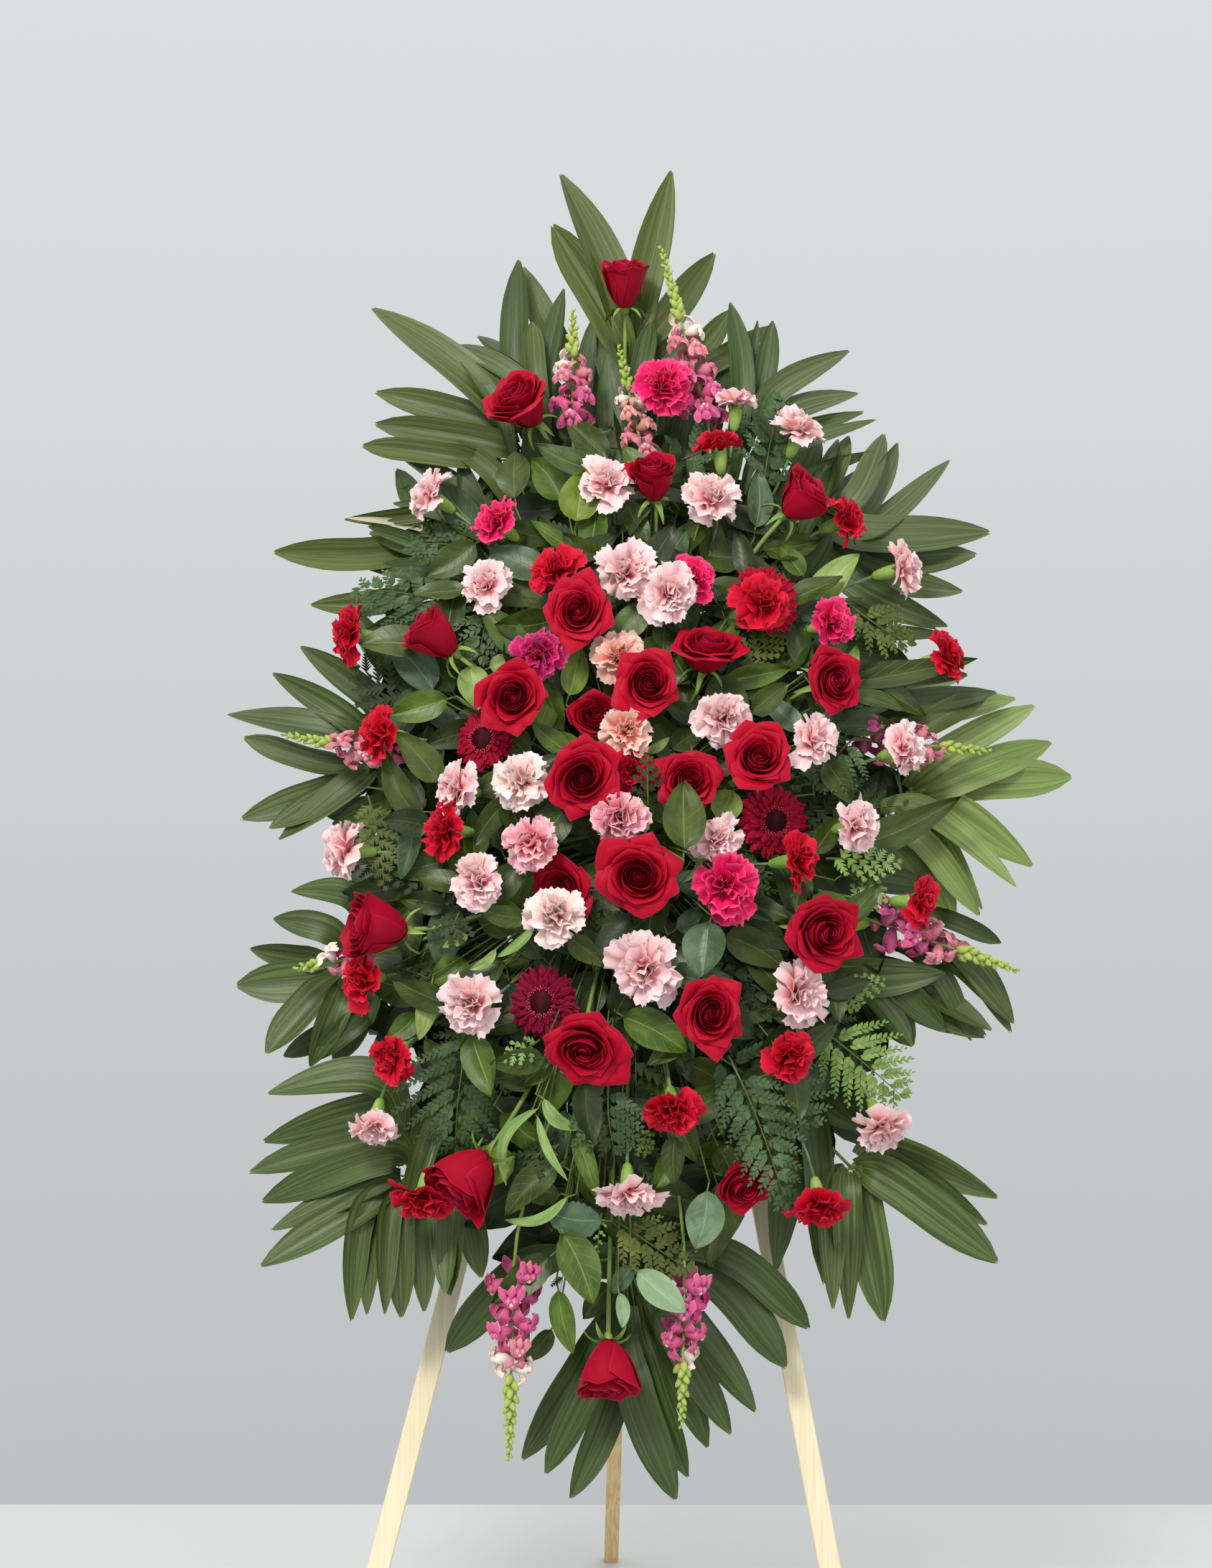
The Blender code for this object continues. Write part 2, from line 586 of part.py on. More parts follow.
def snapdragon(row, mat, frame):
    """A spike of florets in tiers, wide and narrow by turns, smaller towards the tip."""
    name, low, tip, widest = row
    low = Vector((*low, SNAP_W))
    tip = Vector((*tip, SNAP_W + 0.01))
    facing = (tip - low).normalized()
    entry = stem_entry(tip.x, tip.y)
    stations = [(point, SNAP_STEM_RADIUS) for point in stem_path(entry, low, facing)]
    tiers = 2 * SNAP_TIERS
    for tier in range(1, tiers + 1):
        share = tier / tiers
        radius = widest + (SNAP_TIP_RADIUS - widest) * share ** 1.3
        if tier % 2 == 0:
            radius *= 0.7
        stations.append((low.lerp(tip, share), radius))
    bm = bmesh.new()
    loft(bm, sweep(stations, STEM_SIDES))
    add(name, bm, mat, frame, smooth=True)
    return entry


def petiole_end(side, height):
    """Where a palm frond's petiole stops inside the foam."""
    half_u = FOAM_WIDTH / 2 - PETIOLE_DEPTH_IN_FOAM
    half_v = FOAM_LENGTH / 2 - PETIOLE_DEPTH_IN_FOAM
    return {
        "left": Vector((HOLDER_U - half_u, height)),
        "right": Vector((HOLDER_U + half_u, height)),
        "top": Vector((HOLDER_U, HOLDER_V + half_v)),
        "bottom": Vector((HOLDER_U, HOLDER_V - half_v)),
    }[side]


def frond(row, layer, mat, frame):
    """A palm frond as a flat star of leaflets with its petiole. Returns its slot in the foam."""
    name, hub, (side, height), leaves = row
    hub = Vector(hub)
    end = petiole_end(side, height)
    stalk = end - hub
    stalk_angle = math.degrees(math.atan2(stalk.y, stalk.x)) % 360
    arms = [(angle % 360, length, False) for angle, length in leaves]
    arms.append((stalk_angle, stalk.length, True))
    arms.sort()
    outline = []
    for i, (angle, length, is_stalk) in enumerate(arms):
        before = (angle - arms[i - 1][0]) % 360
        after = (arms[(i + 1) % len(arms)][0] - angle) % 360
        valley = angle - before / 2
        shorter = min(length, arms[i - 1][1])
        if before > 100:
            outline.append((angle - 40, 0.012))
            valley = angle - 90
        outline.append((valley, 0.012 if is_stalk else 0.16 * shorter))
        if is_stalk:
            turn = math.degrees(math.atan2(PETIOLE_WIDTH / 2, length))
            near = math.degrees(math.atan2(PETIOLE_WIDTH / 2, 0.014))
            near = min(near, 0.4 * before, 0.4 * after)
            outline += [(angle - near, 0.014), (angle - turn, length), (angle + turn, length),
                        (angle + near, 0.014)]
        else:
            spread = math.degrees(math.atan2(LEAFLET_HALF_WIDTH, 0.6 * length))
            outline += [(angle - min(spread, 0.40 * before), 0.60 * length), (angle, length),
                        (angle + min(spread, 0.40 * after), 0.60 * length)]
    bm = bmesh.new()
    w = LOWEST_FROND_W + layer * FROND_PITCH_W
    verts = []
    for angle, radius in outline:
        turn = math.radians(angle)
        verts.append(bm.verts.new((hub.x + radius * math.cos(turn),
                                   hub.y + radius * math.sin(turn), w)))
    face = bm.faces.new(verts)
    made = bmesh.ops.extrude_face_region(bm, geom=[face])
    raised = [item for item in made["geom"] if isinstance(item, bmesh.types.BMVert)]
    bmesh.ops.translate(bm, verts=raised, vec=(0, 0, FROND_THICKNESS))
    bmesh.ops.triangulate(bm, faces=bm.faces)
    add(name, bm, mat, frame)
    return hub, end, w


def slot_for(bm, slot):
    """Add the cutter for one petiole's slot in the foam."""
    hub, end, w = slot
    along = (hub - end).normalized()
    across = Vector((-along.y, along.x)) * (PETIOLE_WIDTH / 2 + HOLE_CLEARANCE)
    near = end - along * HOLE_CLEARANCE
    far = end + along * 0.08
    rings = []
    for level in (w - HOLE_CLEARANCE, w + FROND_THICKNESS + HOLE_CLEARANCE):
        rings.append([(p.x, p.y, level) for p in (near - across, far - across, far + across,
                                                  near + across)])
    loft(bm, rings)


def foam_block(entries, slots, foam, frame):
    """The foam block, pierced by every stem and petiole."""
    bm = bmesh.new()
    box(bm, (HOLDER_U - FOAM_WIDTH / 2, HOLDER_V - FOAM_LENGTH / 2,
             TRAY_BACK_W + HANDLE_THICKNESS + GAP),
        (HOLDER_U + FOAM_WIDTH / 2, HOLDER_V + FOAM_LENGTH / 2, FOAM_FRONT_W))
    block = add("foam_block", bm, foam, frame)
    holes = bmesh.new()
    for u, v in entries:
        cylinder(holes, (u, v, STEM_BOTTOM_W - HOLE_CLEARANCE), (u, v, FOAM_FRONT_W + 0.01),
                 ROSE_STEM_RADIUS + HOLE_CLEARANCE, 8)
    cut(block, holes, "stem_holes", frame)
    gaps = bmesh.new()
    for slot in slots:
        slot_for(gaps, slot)
    cut(block, gaps, "petiole_slots", frame)


def main():
    clear_scene()
    wood = material("pale_pine", (0.80, 0.66, 0.42), 0.60)
    rear_wood = material("tan_pine", (0.60, 0.40, 0.20), 0.62)
    steel = material("zinc_steel", (0.62, 0.62, 0.60), 0.35, 0.9)
    plastic = material("green_plastic", (0.05, 0.16, 0.07), 0.45)
    foam = material("floral_foam", (0.06, 0.19, 0.07), 0.90)
    wire = material("green_wire", (0.05, 0.14, 0.06), 0.50, 0.5)
    rose_red = material("rose_red", (0.42, 0.00, 0.02), 0.60)
    gerbera_red = material("gerbera_crimson", (0.28, 0.00, 0.03), 0.60)
    snap_pink = material("snapdragon_pink", (0.68, 0.13, 0.26), 0.60)
    palm_green = material("palm_green", (0.07, 0.14, 0.05), 0.50)

    frame = leaning_frame()
    front_leg("front_leg_left", LEFT_FOOT_U, LEFT_SPLAY, wood, frame)
    front_leg("front_leg_right", RIGHT_FOOT_U, RIGHT_SPLAY, wood, frame)
    rail("upper_rail", UPPER_RAIL_V, wood, frame)
    rail("lower_rail", LOWER_RAIL_V, wood, frame)
    head_block(wood, frame)
    leg_screw("leg_screw_left", LEFT_FOOT_U, LEFT_SPLAY, steel, frame)
    leg_screw("leg_screw_right", RIGHT_FOOT_U, RIGHT_SPLAY, steel, frame)
    hinge_bolt(steel, frame)
    rear_leg(rear_wood, frame)

    holder_tray(plastic, frame)
    cage_cover(plastic, frame)
    wire_tie("wire_tie_upper", 1, UPPER_RAIL_V, wire, frame)
    wire_tie("wire_tie_lower", -1, LOWER_RAIL_V, wire, frame)

    entries = [rose(row, rose_red, frame) for row in ROSES]
    entries += [gerbera(row, gerbera_red, frame) for row in GERBERAS]
    entries += [snapdragon(row, snap_pink, frame) for row in SNAPDRAGONS]
    slots = [frond(row, layer, palm_green, frame) for layer, row in enumerate(FRONDS)]
    foam_block(entries, slots, foam, frame)


main()
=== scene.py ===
"""A standing funeral spray: cut flowers and palm in a foam holder on a folding wooden easel.

The spray leans back with its easel. Flowers and leaves are placed in the leaning plane, where
u runs across, v runs up the lean and w comes forward out of it, all in metres.
"""

import math
from types import SimpleNamespace

import bpy
import numpy as np
from bpy.props import FloatProperty, FloatVectorProperty, IntProperty, PointerProperty
from bpy.types import Operator, Panel, PropertyGroup
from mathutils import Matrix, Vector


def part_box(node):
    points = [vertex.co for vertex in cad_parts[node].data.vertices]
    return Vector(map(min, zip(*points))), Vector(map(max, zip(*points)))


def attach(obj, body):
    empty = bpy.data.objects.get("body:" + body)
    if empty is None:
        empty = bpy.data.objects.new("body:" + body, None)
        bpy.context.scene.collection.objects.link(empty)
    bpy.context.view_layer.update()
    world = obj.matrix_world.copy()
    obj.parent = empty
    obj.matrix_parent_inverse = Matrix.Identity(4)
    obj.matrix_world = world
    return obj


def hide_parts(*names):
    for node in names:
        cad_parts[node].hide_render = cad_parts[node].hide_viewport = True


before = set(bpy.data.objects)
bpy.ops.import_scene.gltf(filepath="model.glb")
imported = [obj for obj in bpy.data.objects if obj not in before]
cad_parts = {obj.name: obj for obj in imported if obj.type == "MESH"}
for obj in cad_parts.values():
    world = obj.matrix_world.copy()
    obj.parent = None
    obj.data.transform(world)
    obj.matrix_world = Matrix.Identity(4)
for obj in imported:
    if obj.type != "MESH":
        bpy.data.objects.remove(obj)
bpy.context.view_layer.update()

bl_info = {
    "name": "Standing Funeral Spray",
    "version": (1, 0, 0),
    "blender": (4, 5, 0),
    "location": "3D View > Sidebar > Spray",
    "description": "Dresses the easel, the foam holder and the flowers of a standing spray",
    "category": "Object",
}

BODY = "stand"

# The lean of the easel, the foam holder in the leaning plane, the bays of its cage, and where
# the stems start in the foam and how far they spread
LEAN = math.radians(13.4)
FEET_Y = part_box("front_leg_left")[0].y
HOLDER = (-0.030, 1.100)
CAGE_BAY = 0.088
BAY_MARGIN = 0.035
STEM_BOTTOM_W = 0.085
STEM_START_W = 0.122
STEM_SPREAD = (0.088, 0.25)

# The front of the spray is a shallow dome over the leaning plane
DOME_EDGE = 0.12
DOME_RISE = 0.17
DOME_HALF = (0.50, 0.75)

# Thickness of the sheets, and radius of the roses' and gerberas' stems
CARNATION_THICKNESS = 0.00035
FERN_THICKNESS = 0.0004
LOBE_THICKNESS = 0.0003
LEAF_THICKNESS = 0.0006
GERBERA_THICKNESS = 0.0006
SEPAL_THICKNESS = 0.0005
FLORET_THICKNESS = 0.0005
STEM_RADIUS = 0.0028

UP = np.array([0.0, 0.0, 1.0])
GOLDEN_TURN = math.radians(137.508)
ANY_TURN = (0, 6.28)  # the range of a random direction or wave
SEEDS = {"packed_ferns": 7, "packed_leaves": 11, "collars": 12, "palm": 100, "strap": 150,
         "rose": 300, "gerbera": 400, "carnation": 500, "snapdragon": 600, "fern": 700,
         "leaf": 800}

# What each point of a sheet knows: its place across and along the sheet with the sheet's own
# number, and whether it is on the back
PLACE = "petal_place"
REVERSE = "petal_reverse"

# The stage: a level camera, the floor's depth and the lights
CAMERA_PLACE = (-0.0558, FEET_Y - 3.13, 1.154)
CAMERA_LENS = 58.615
CAMERA_REACH = 60.0
FLOOR_FRONT_Y, FLOOR_REAR_Y = -9.0, 0.68
LIGHT_COLOUR = (1.0, 0.96, 0.89)
# Lights: name, place, what they aim at, power, width
LIGHTS = (("key", (-1.4, -3.2, 3.6), (0.0, -0.2, 1.1), 125.0, 1.0),
          ("fill", (2.2, -3.2, 1.8), (0.0, -0.2, 1.0), 25.0, 2.0),
          ("rim", (0.5, 2.0, 3.0), (0.0, 0.0, 1.2), 25.0, 1.5))

# Roses: name, place (u, v), how far behind the dome, width, length, facing (u, v for each w)
# and how open the bloom is
ROSES = [
    ("rose_top", -0.03, 1.85, 0.0, 0.068, 0.074, 0.0, 1.7, 0.4),
    ("rose_upper_left", -0.165, 1.65, 0.0, 0.102, 0.074, -0.8, 0.7, 0.7),
    ("rose_upper_middle", 0.005, 1.528, 0.0, 0.066, 0.066, -0.1, 0.8, 0.45),
    ("rose_upper_right", 0.195, 1.515, 0.0, 0.078, 0.068, 1.2, 1.0, 0.5),
    ("rose_left_bud", -0.27, 1.32, 0.0, 0.07, 0.072, -2.2, 1.6, 0.4),
    ("rose_mid_upper_left", -0.09, 1.34, 0.0, 0.088, 0.06, -0.1, 0.0, 1.0),
    ("rose_mid_upper_right", 0.07, 1.296, 0.026, 0.096, 0.058, 0.2, 1.0, 0.85),
    ("rose_mid_left", -0.17, 1.23, 0.0, 0.09, 0.06, -0.1, -0.1, 1.0),
    ("rose_middle", -0.005, 1.245, 0.0, 0.09, 0.06, 0.1, -0.1, 1.0),
    ("rose_right", 0.225, 1.26, 0.0, 0.084, 0.06, 0.5, -0.1, 1.0),
    ("rose_deep_middle", -0.068, 1.215, 0.055, 0.064, 0.052, 0.0, 0.2, 0.6),
    ("rose_centre_left", -0.085, 1.125, 0.0, 0.096, 0.062, 0.0, -0.2, 1.0),
    ("rose_centre", 0.043, 1.125, 0.02, 0.086, 0.058, 0.2, 0.0, 1.0),
    ("rose_centre_right", 0.13, 1.153, 0.0, 0.09, 0.06, 0.1, 0.1, 1.0),
    ("rose_large", -0.017, 1.003, 0.0, 0.104, 0.064, 0.0, -0.2, 1.0),
    ("rose_behind_large", -0.107, 0.994, 0.05, 0.084, 0.058, -0.4, -0.1, 0.9),
    ("rose_lower_right_tall", 0.205, 0.942, 0.0, 0.104, 0.062, 0.65, -0.25, 0.9),
    ("rose_lower_left_side", -0.335, 0.953, 0.0, 0.086, 0.08, -2.4, 0.0, 0.3),
    ("rose_lower_left", -0.082, 0.8, 0.0, 0.102, 0.062, 0.0, -0.6, 1.0),
    ("rose_lower_right", 0.068, 0.84, 0.0, 0.092, 0.06, 0.2, -0.1, 1.0),
    ("rose_low_left_bud", -0.222, 0.652, 0.0, 0.086, 0.08, -2.0, -2.6, 0.3),
    ("rose_low_right", 0.11, 0.65, 0.04, 0.07, 0.056, 0.3, -0.9, 0.6),
    ("rose_bottom", -0.053, 0.426, 0.0, 0.08, 0.078, 0.0, -3.0, 0.4),
]

# Gerberas: name, place, how far behind the dome, width, facing, and how far they turn to wine red
GERBERAS = [
    ("gerbera_upper_right", 0.146, 1.372, 0.02, 0.101, 0.4, 0.1, 0.0),
    ("gerbera_left", -0.208, 1.194, 0.058, 0.086, -0.5, 0.0, 0.2),
    ("gerbera_right", 0.153, 1.09, 0.062, 0.1, 0.3, -0.2, 0.15),
    ("gerbera_lower_left", -0.133, 0.862, 0.058, 0.094, -0.3, -0.1, 0.85),
]
GERBERA_LENGTH = 0.022
EYE_FLORETS = 130
# Rings of straps: how many, their reach, their height, their rise and their half width
GERBERA_RINGS = ((25, 1.0, 0.50, -0.04, 0.116), (25, 0.92, 0.62, 0.02, 0.104),
                 (19, 0.68, 0.74, 0.08, 0.074), (21, 0.50, 0.82, 0.16, 0.050))

# Carnations: colour, place, how far behind the dome, width before their ruffles, facing
CARNATIONS = [
    ("pale", -0.29, 1.53, 0.0, 0.066, -1.6, 0.8), ("pale", 0.2, 1.63, 0.0, 0.07, 0.5, 1.2),
    ("pale", -0.055, 1.53, 0.0, 0.068, -0.1, 0.3), ("pale", 0.08, 1.51, 0.0, 0.072, 0.2, 0.2),
    ("pale", -0.21, 1.39, 0.0, 0.066, -0.4, 0.2), ("pale", -0.03, 1.4, 0.0, 0.07, 0.0, 0.1),
    ("pale", 0.025, 1.37, 0.0, 0.072, 0.1, -0.1), ("pale", 0.115, 1.665, 0.0, 0.056, 0.2, 2.5),
    ("pale", 0.335, 1.435, 0.0, 0.07, 2.2, 0.3), ("peach", -0.04, 1.29, 0.015, 0.064, 0.0, 0.1),
    ("pale", 0.09, 1.205, 0.0, 0.07, 0.1, -0.1), ("peach", -0.03, 1.185, 0.0, 0.062, 0.0, -0.2),
    ("pale", 0.205, 1.185, 0.0, 0.062, 0.4, 0.1), ("pale", 0.325, 1.185, 0.0, 0.066, 1.2, 0.2),
    ("pale", -0.245, 1.12, 0.0, 0.064, -1.0, 0.0), ("cream", -0.16, 1.125, 0.0, 0.068, -0.3, -0.1),
    ("pink", -0.04, 1.075, 0.0, 0.07, 0.0, -0.2), ("pale", 0.26, 1.08, 0.0, 0.068, 0.9, 0.0),
    ("pale", -0.39, 1.055, 0.0, 0.076, -2.4, 0.0), ("pink", -0.15, 1.045, 0.0, 0.066, -0.3, -0.2),
    ("pale", -0.215, 1.0, 0.0, 0.066, -0.5, -0.2), ("pale", 0.08, 1.05, 0.0, 0.056, 0.1, -0.2),
    ("cream", -0.12, 0.955, 0.0, 0.068, -0.2, -0.3), ("pale", -0.01, 0.89, 0.0, 0.084, 0.0, -0.3),
    ("pale", 0.185, 0.865, 0.0, 0.078, 0.9, -0.2), ("pale", -0.225, 0.85, 0.0, 0.078, -0.8, -0.5),
    ("pale", -0.34, 0.706, 0.0, 0.062, -0.4, -2.6), ("pale", 0.285, 0.705, 0.0, 0.072, 0.8, -2.4),
    ("pale", -0.03, 0.62, 0.0, 0.072, 0.0, -2.6), ("red", 0.09, 1.595, 0.0, 0.06, -0.2, 2.6),
    ("red", 0.26, 1.495, 0.0, 0.064, 1.4, 0.3), ("red", -0.12, 1.405, 0.0, 0.062, -0.2, 0.2),
    ("red", -0.39, 1.34, 0.0, 0.074, -3.0, 0.1), ("red", 0.145, 1.362, 0.0, 0.072, 0.4, 0.1),
    ("red", 0.388, 1.315, -0.012, 0.064, 2.0, 0.2), ("red", -0.345, 1.2, 0.0, 0.066, -1.8, 0.0),
    ("red", -0.26, 1.07, 0.0, 0.068, -1.6, 0.0), ("red", 0.185, 1.03, 0.0, 0.066, 1.5, 0.0),
    ("red", 0.34, 0.99, 0.0, 0.06, 2.2, -0.2), ("red", -0.36, 0.89, 0.0, 0.058, -0.9, -0.3),
    ("red", -0.32, 0.79, 0.0, 0.056, -0.6, -0.8), ("red", 0.17, 0.79, 0.0, 0.062, 0.5, -0.4),
    ("red", 0.025, 0.72, 0.0, 0.066, 0.1, -1.2), ("red", -0.28, 0.62, 0.0, 0.07, -0.3, -2.2),
    ("red", 0.205, 0.61, 0.0, 0.066, 0.3, -2.2), ("red", -0.025, 1.14, 0.012, 0.052, 0.0, -0.1),
    ("hot", 0.02, 1.68, 0.0, 0.076, 0.05, -0.05), ("hot", -0.2, 1.48, 0.0, 0.066, -1.0, 0.6),
    ("hot", 0.055, 1.395, 0.015, 0.056, 0.1, 0.0), ("hot", 0.235, 1.345, 0.0, 0.064, 1.0, 0.1),
    ("hot", 0.09, 0.995, 0.0, 0.08, 0.2, -0.2), ("magenta", -0.14, 1.29, 0.0, 0.064, -0.2, 0.1),
]
RUFFLED = 1.12
# Rings of petals: their share, how far they lean out, how long, how wide, how crumpled, and grid
CARNATION_RINGS = ((0.25, (78, 104), (0.82, 1.14), 0.31, 0.040, (6, 13)),
                   (0.29, (52, 80), (0.78, 1.00), 0.28, 0.055, (5, 12)),
                   (0.24, (26, 54), (0.68, 0.88), 0.24, 0.065, (5, 10)),
                   (0.22, (0, 28), (0.56, 0.76), 0.19, 0.070, (5, 9)))

# Snapdragons: name, where the lowest floret starts, the tip of the spike, widest radius,
# colours of the florets from the lowest up
SNAPDRAGONS = [
    ("snapdragon_top_left", -0.1, 1.645, -0.1, 1.8, 0.018, "pink pink dusty dusty cream"),
    ("snapdragon_top_middle", -0.007, 1.6, -0.04, 1.75, 0.015, "dusty peach cream"),
    ("snapdragon_top_right", 0.078, 1.647, 0.017, 1.892, 0.018, "pink pink dusty dusty cream"),
    ("snapdragon_left", -0.3, 1.186, -0.472, 1.215, 0.018, "pink dusty dusty"),
    ("snapdragon_right", 0.276, 1.211, 0.436, 1.192, 0.018, "pink dusty dusty"),
    ("snapdragon_lower_right", 0.283, 0.974, 0.461, 0.909, 0.019, "pink pink dusty"),
    ("snapdragon_lower_left", -0.358, 0.93, -0.447, 0.912, 0.016, "pink dusty cream"),
    ("snapdragon_bottom_left", -0.168, 0.548, -0.172, 0.317, 0.019, "pink pink pink dusty cream"),
    ("snapdragon_bottom_right", 0.04, 0.538, 0.035, 0.354, 0.018, "pink hot pink pink cream"),
]
SNAP_W = 0.143
SNAP_TIP_W = 0.153
FLORETS_PER_M, BUDS_PER_M = 52, 130

# Palm fronds from the back layer to the front: name, tint, hub, where the petiole enters the
# foam, and each leaflet: where it shows past the flowers, its tip, width
FRONDS = [
    ("palm_top", "olive", (-0.03, 1.76), (-0.03, 1.302), [
        (-0.03, 1.825, -0.12, 2.04, 0.05), (-0.03, 1.775, -0.13, 1.965, 0.042),
        (-0.12, 1.76, -0.17, 1.9, 0.035), (-0.02, 1.8, 0.035, 2.045, 0.042),
        (-0.01, 1.765, 0.095, 1.93, 0.037), (0.06, 1.74, 0.115, 1.84, 0.029),
        (0.09, 1.74, 0.17, 1.815, 0.028),
    ]),
    ("palm_bottom", "deep", (-0.03, 0.56), (-0.03, 0.898), [
        (-0.165, 0.555, -0.255, 0.445, 0.04), (-0.07, 0.44, -0.16, 0.315, 0.04),
        (-0.06, 0.43, -0.13, 0.3, 0.033), (-0.042, 0.39, -0.1, 0.27, 0.035),
        (-0.025, 0.39, 0.03, 0.268, 0.04), (-0.005, 0.415, 0.045, 0.295, 0.033),
        (0.012, 0.45, 0.07, 0.33, 0.035), (0.03, 0.465, 0.098, 0.346, 0.033),
        (0.04, 0.49, 0.13, 0.372, 0.042), (0.085, 0.545, 0.168, 0.426, 0.044),
        (0.11, 0.57, 0.198, 0.474, 0.036),
    ]),
    ("palm_left", "mid", (-0.35, 1.21), (-0.064, 1.188), [
        (-0.34, 1.275, -0.46, 1.355, 0.032), (-0.38, 1.245, -0.498, 1.324, 0.03),
        (-0.39, 1.225, -0.555, 1.265, 0.04), (-0.425, 1.19, -0.53, 1.23, 0.027),
        (-0.37, 1.172, -0.533, 1.124, 0.036), (-0.37, 1.172, -0.491, 1.105, 0.034),
        (-0.37, 1.172, -0.479, 1.091, 0.033),
    ]),
    ("palm_right", "light", (0.33, 1.15), (0.004, 1.1), [
        (0.362, 1.152, 0.499, 1.06, 0.045), (0.343, 1.147, 0.432, 1.005, 0.037),
        (0.333, 1.143, 0.394, 0.986, 0.037), (0.39, 1.172, 0.555, 1.181, 0.044),
        (0.381, 1.162, 0.531, 1.229, 0.038), (0.353, 1.181, 0.511, 1.279, 0.038),
        (0.317, 1.249, 0.484, 1.285, 0.033), (0.299, 1.278, 0.417, 1.312, 0.028),
    ]),
    ("palm_upper_left", "olive", (-0.17, 1.62), (-0.064, 1.276), [
        (-0.205, 1.696, -0.375, 1.829, 0.05), (-0.157, 1.722, -0.26, 1.783, 0.034),
        (-0.195, 1.663, -0.369, 1.714, 0.034), (-0.185, 1.629, -0.37, 1.672, 0.034),
        (-0.253, 1.603, -0.385, 1.638, 0.028), (-0.29, 1.528, -0.405, 1.528, 0.02),
        (-0.27, 1.467, -0.372, 1.512, 0.029), (-0.328, 1.473, -0.495, 1.475, 0.038),
        (-0.326, 1.407, -0.45, 1.417, 0.03),
    ]),
    ("palm_upper_right", "grey", (0.2, 1.56), (0.004, 1.276), [
        (0.144, 1.701, 0.272, 1.758, 0.031), (0.154, 1.67, 0.285, 1.706, 0.031),
        (0.239, 1.558, 0.27, 1.646, 0.026), (0.277, 1.537, 0.317, 1.648, 0.03),
        (0.286, 1.527, 0.334, 1.632, 0.028), (0.305, 1.497, 0.409, 1.621, 0.042),
        (0.276, 1.487, 0.455, 1.505, 0.05), (0.285, 1.467, 0.435, 1.474, 0.038),
        (0.284, 1.447, 0.418, 1.429, 0.033), (0.274, 1.417, 0.396, 1.38, 0.033),
    ]),
    ("palm_lower_left", "mid", (-0.38, 0.93), (-0.064, 1.012), [
        (-0.365, 1.013, -0.463, 1.027, 0.032), (-0.402, 0.972, -0.483, 0.988, 0.031),
        (-0.438, 0.939, -0.512, 0.95, 0.03), (-0.395, 0.911, -0.528, 0.902, 0.046),
        (-0.418, 0.888, -0.483, 0.81, 0.038), (-0.39, 0.879, -0.43, 0.796, 0.032),
        (-0.353, 0.879, -0.402, 0.805, 0.032),
    ]),
    ("palm_lower_right", "mid", (0.3, 0.92), (0.004, 1.012), [
        (0.393, 0.944, 0.461, 0.851, 0.037), (0.3, 0.915, 0.426, 0.835, 0.041),
        (0.29, 0.915, 0.385, 0.842, 0.037), (0.28, 0.9, 0.334, 0.824, 0.037),
    ]),
    ("palm_bottom_left", "mid", (-0.3, 0.66), (-0.064, 0.924), [
        (-0.333, 0.796, -0.481, 0.761, 0.042), (-0.305, 0.76, -0.488, 0.703, 0.041),
        (-0.314, 0.714, -0.504, 0.665, 0.036), (-0.313, 0.696, -0.487, 0.629, 0.039),
        (-0.331, 0.66, -0.473, 0.593, 0.033), (-0.348, 0.625, -0.481, 0.547, 0.038),
        (-0.366, 0.625, -0.369, 0.481, 0.029), (-0.348, 0.616, -0.35, 0.489, 0.027),
        (-0.33, 0.616, -0.327, 0.489, 0.027), (-0.312, 0.625, -0.308, 0.485, 0.029),
        (-0.285, 0.633, -0.28, 0.492, 0.03), (-0.258, 0.642, -0.252, 0.514, 0.03),
        (-0.231, 0.651, -0.21, 0.534, 0.031),
    ]),
    ("palm_bottom_right", "mid", (0.25, 0.67), (0.004, 0.924), [
        (0.221, 0.66, 0.222, 0.494, 0.031), (0.239, 0.66, 0.244, 0.483, 0.031),
        (0.257, 0.66, 0.286, 0.481, 0.042), (0.275, 0.669, 0.432, 0.553, 0.044),
        (0.285, 0.687, 0.418, 0.598, 0.036), (0.276, 0.705, 0.436, 0.633, 0.039),
    ]),
]
LOWEST_FROND_W = 0.0588
FROND_PITCH_W = 0.0048

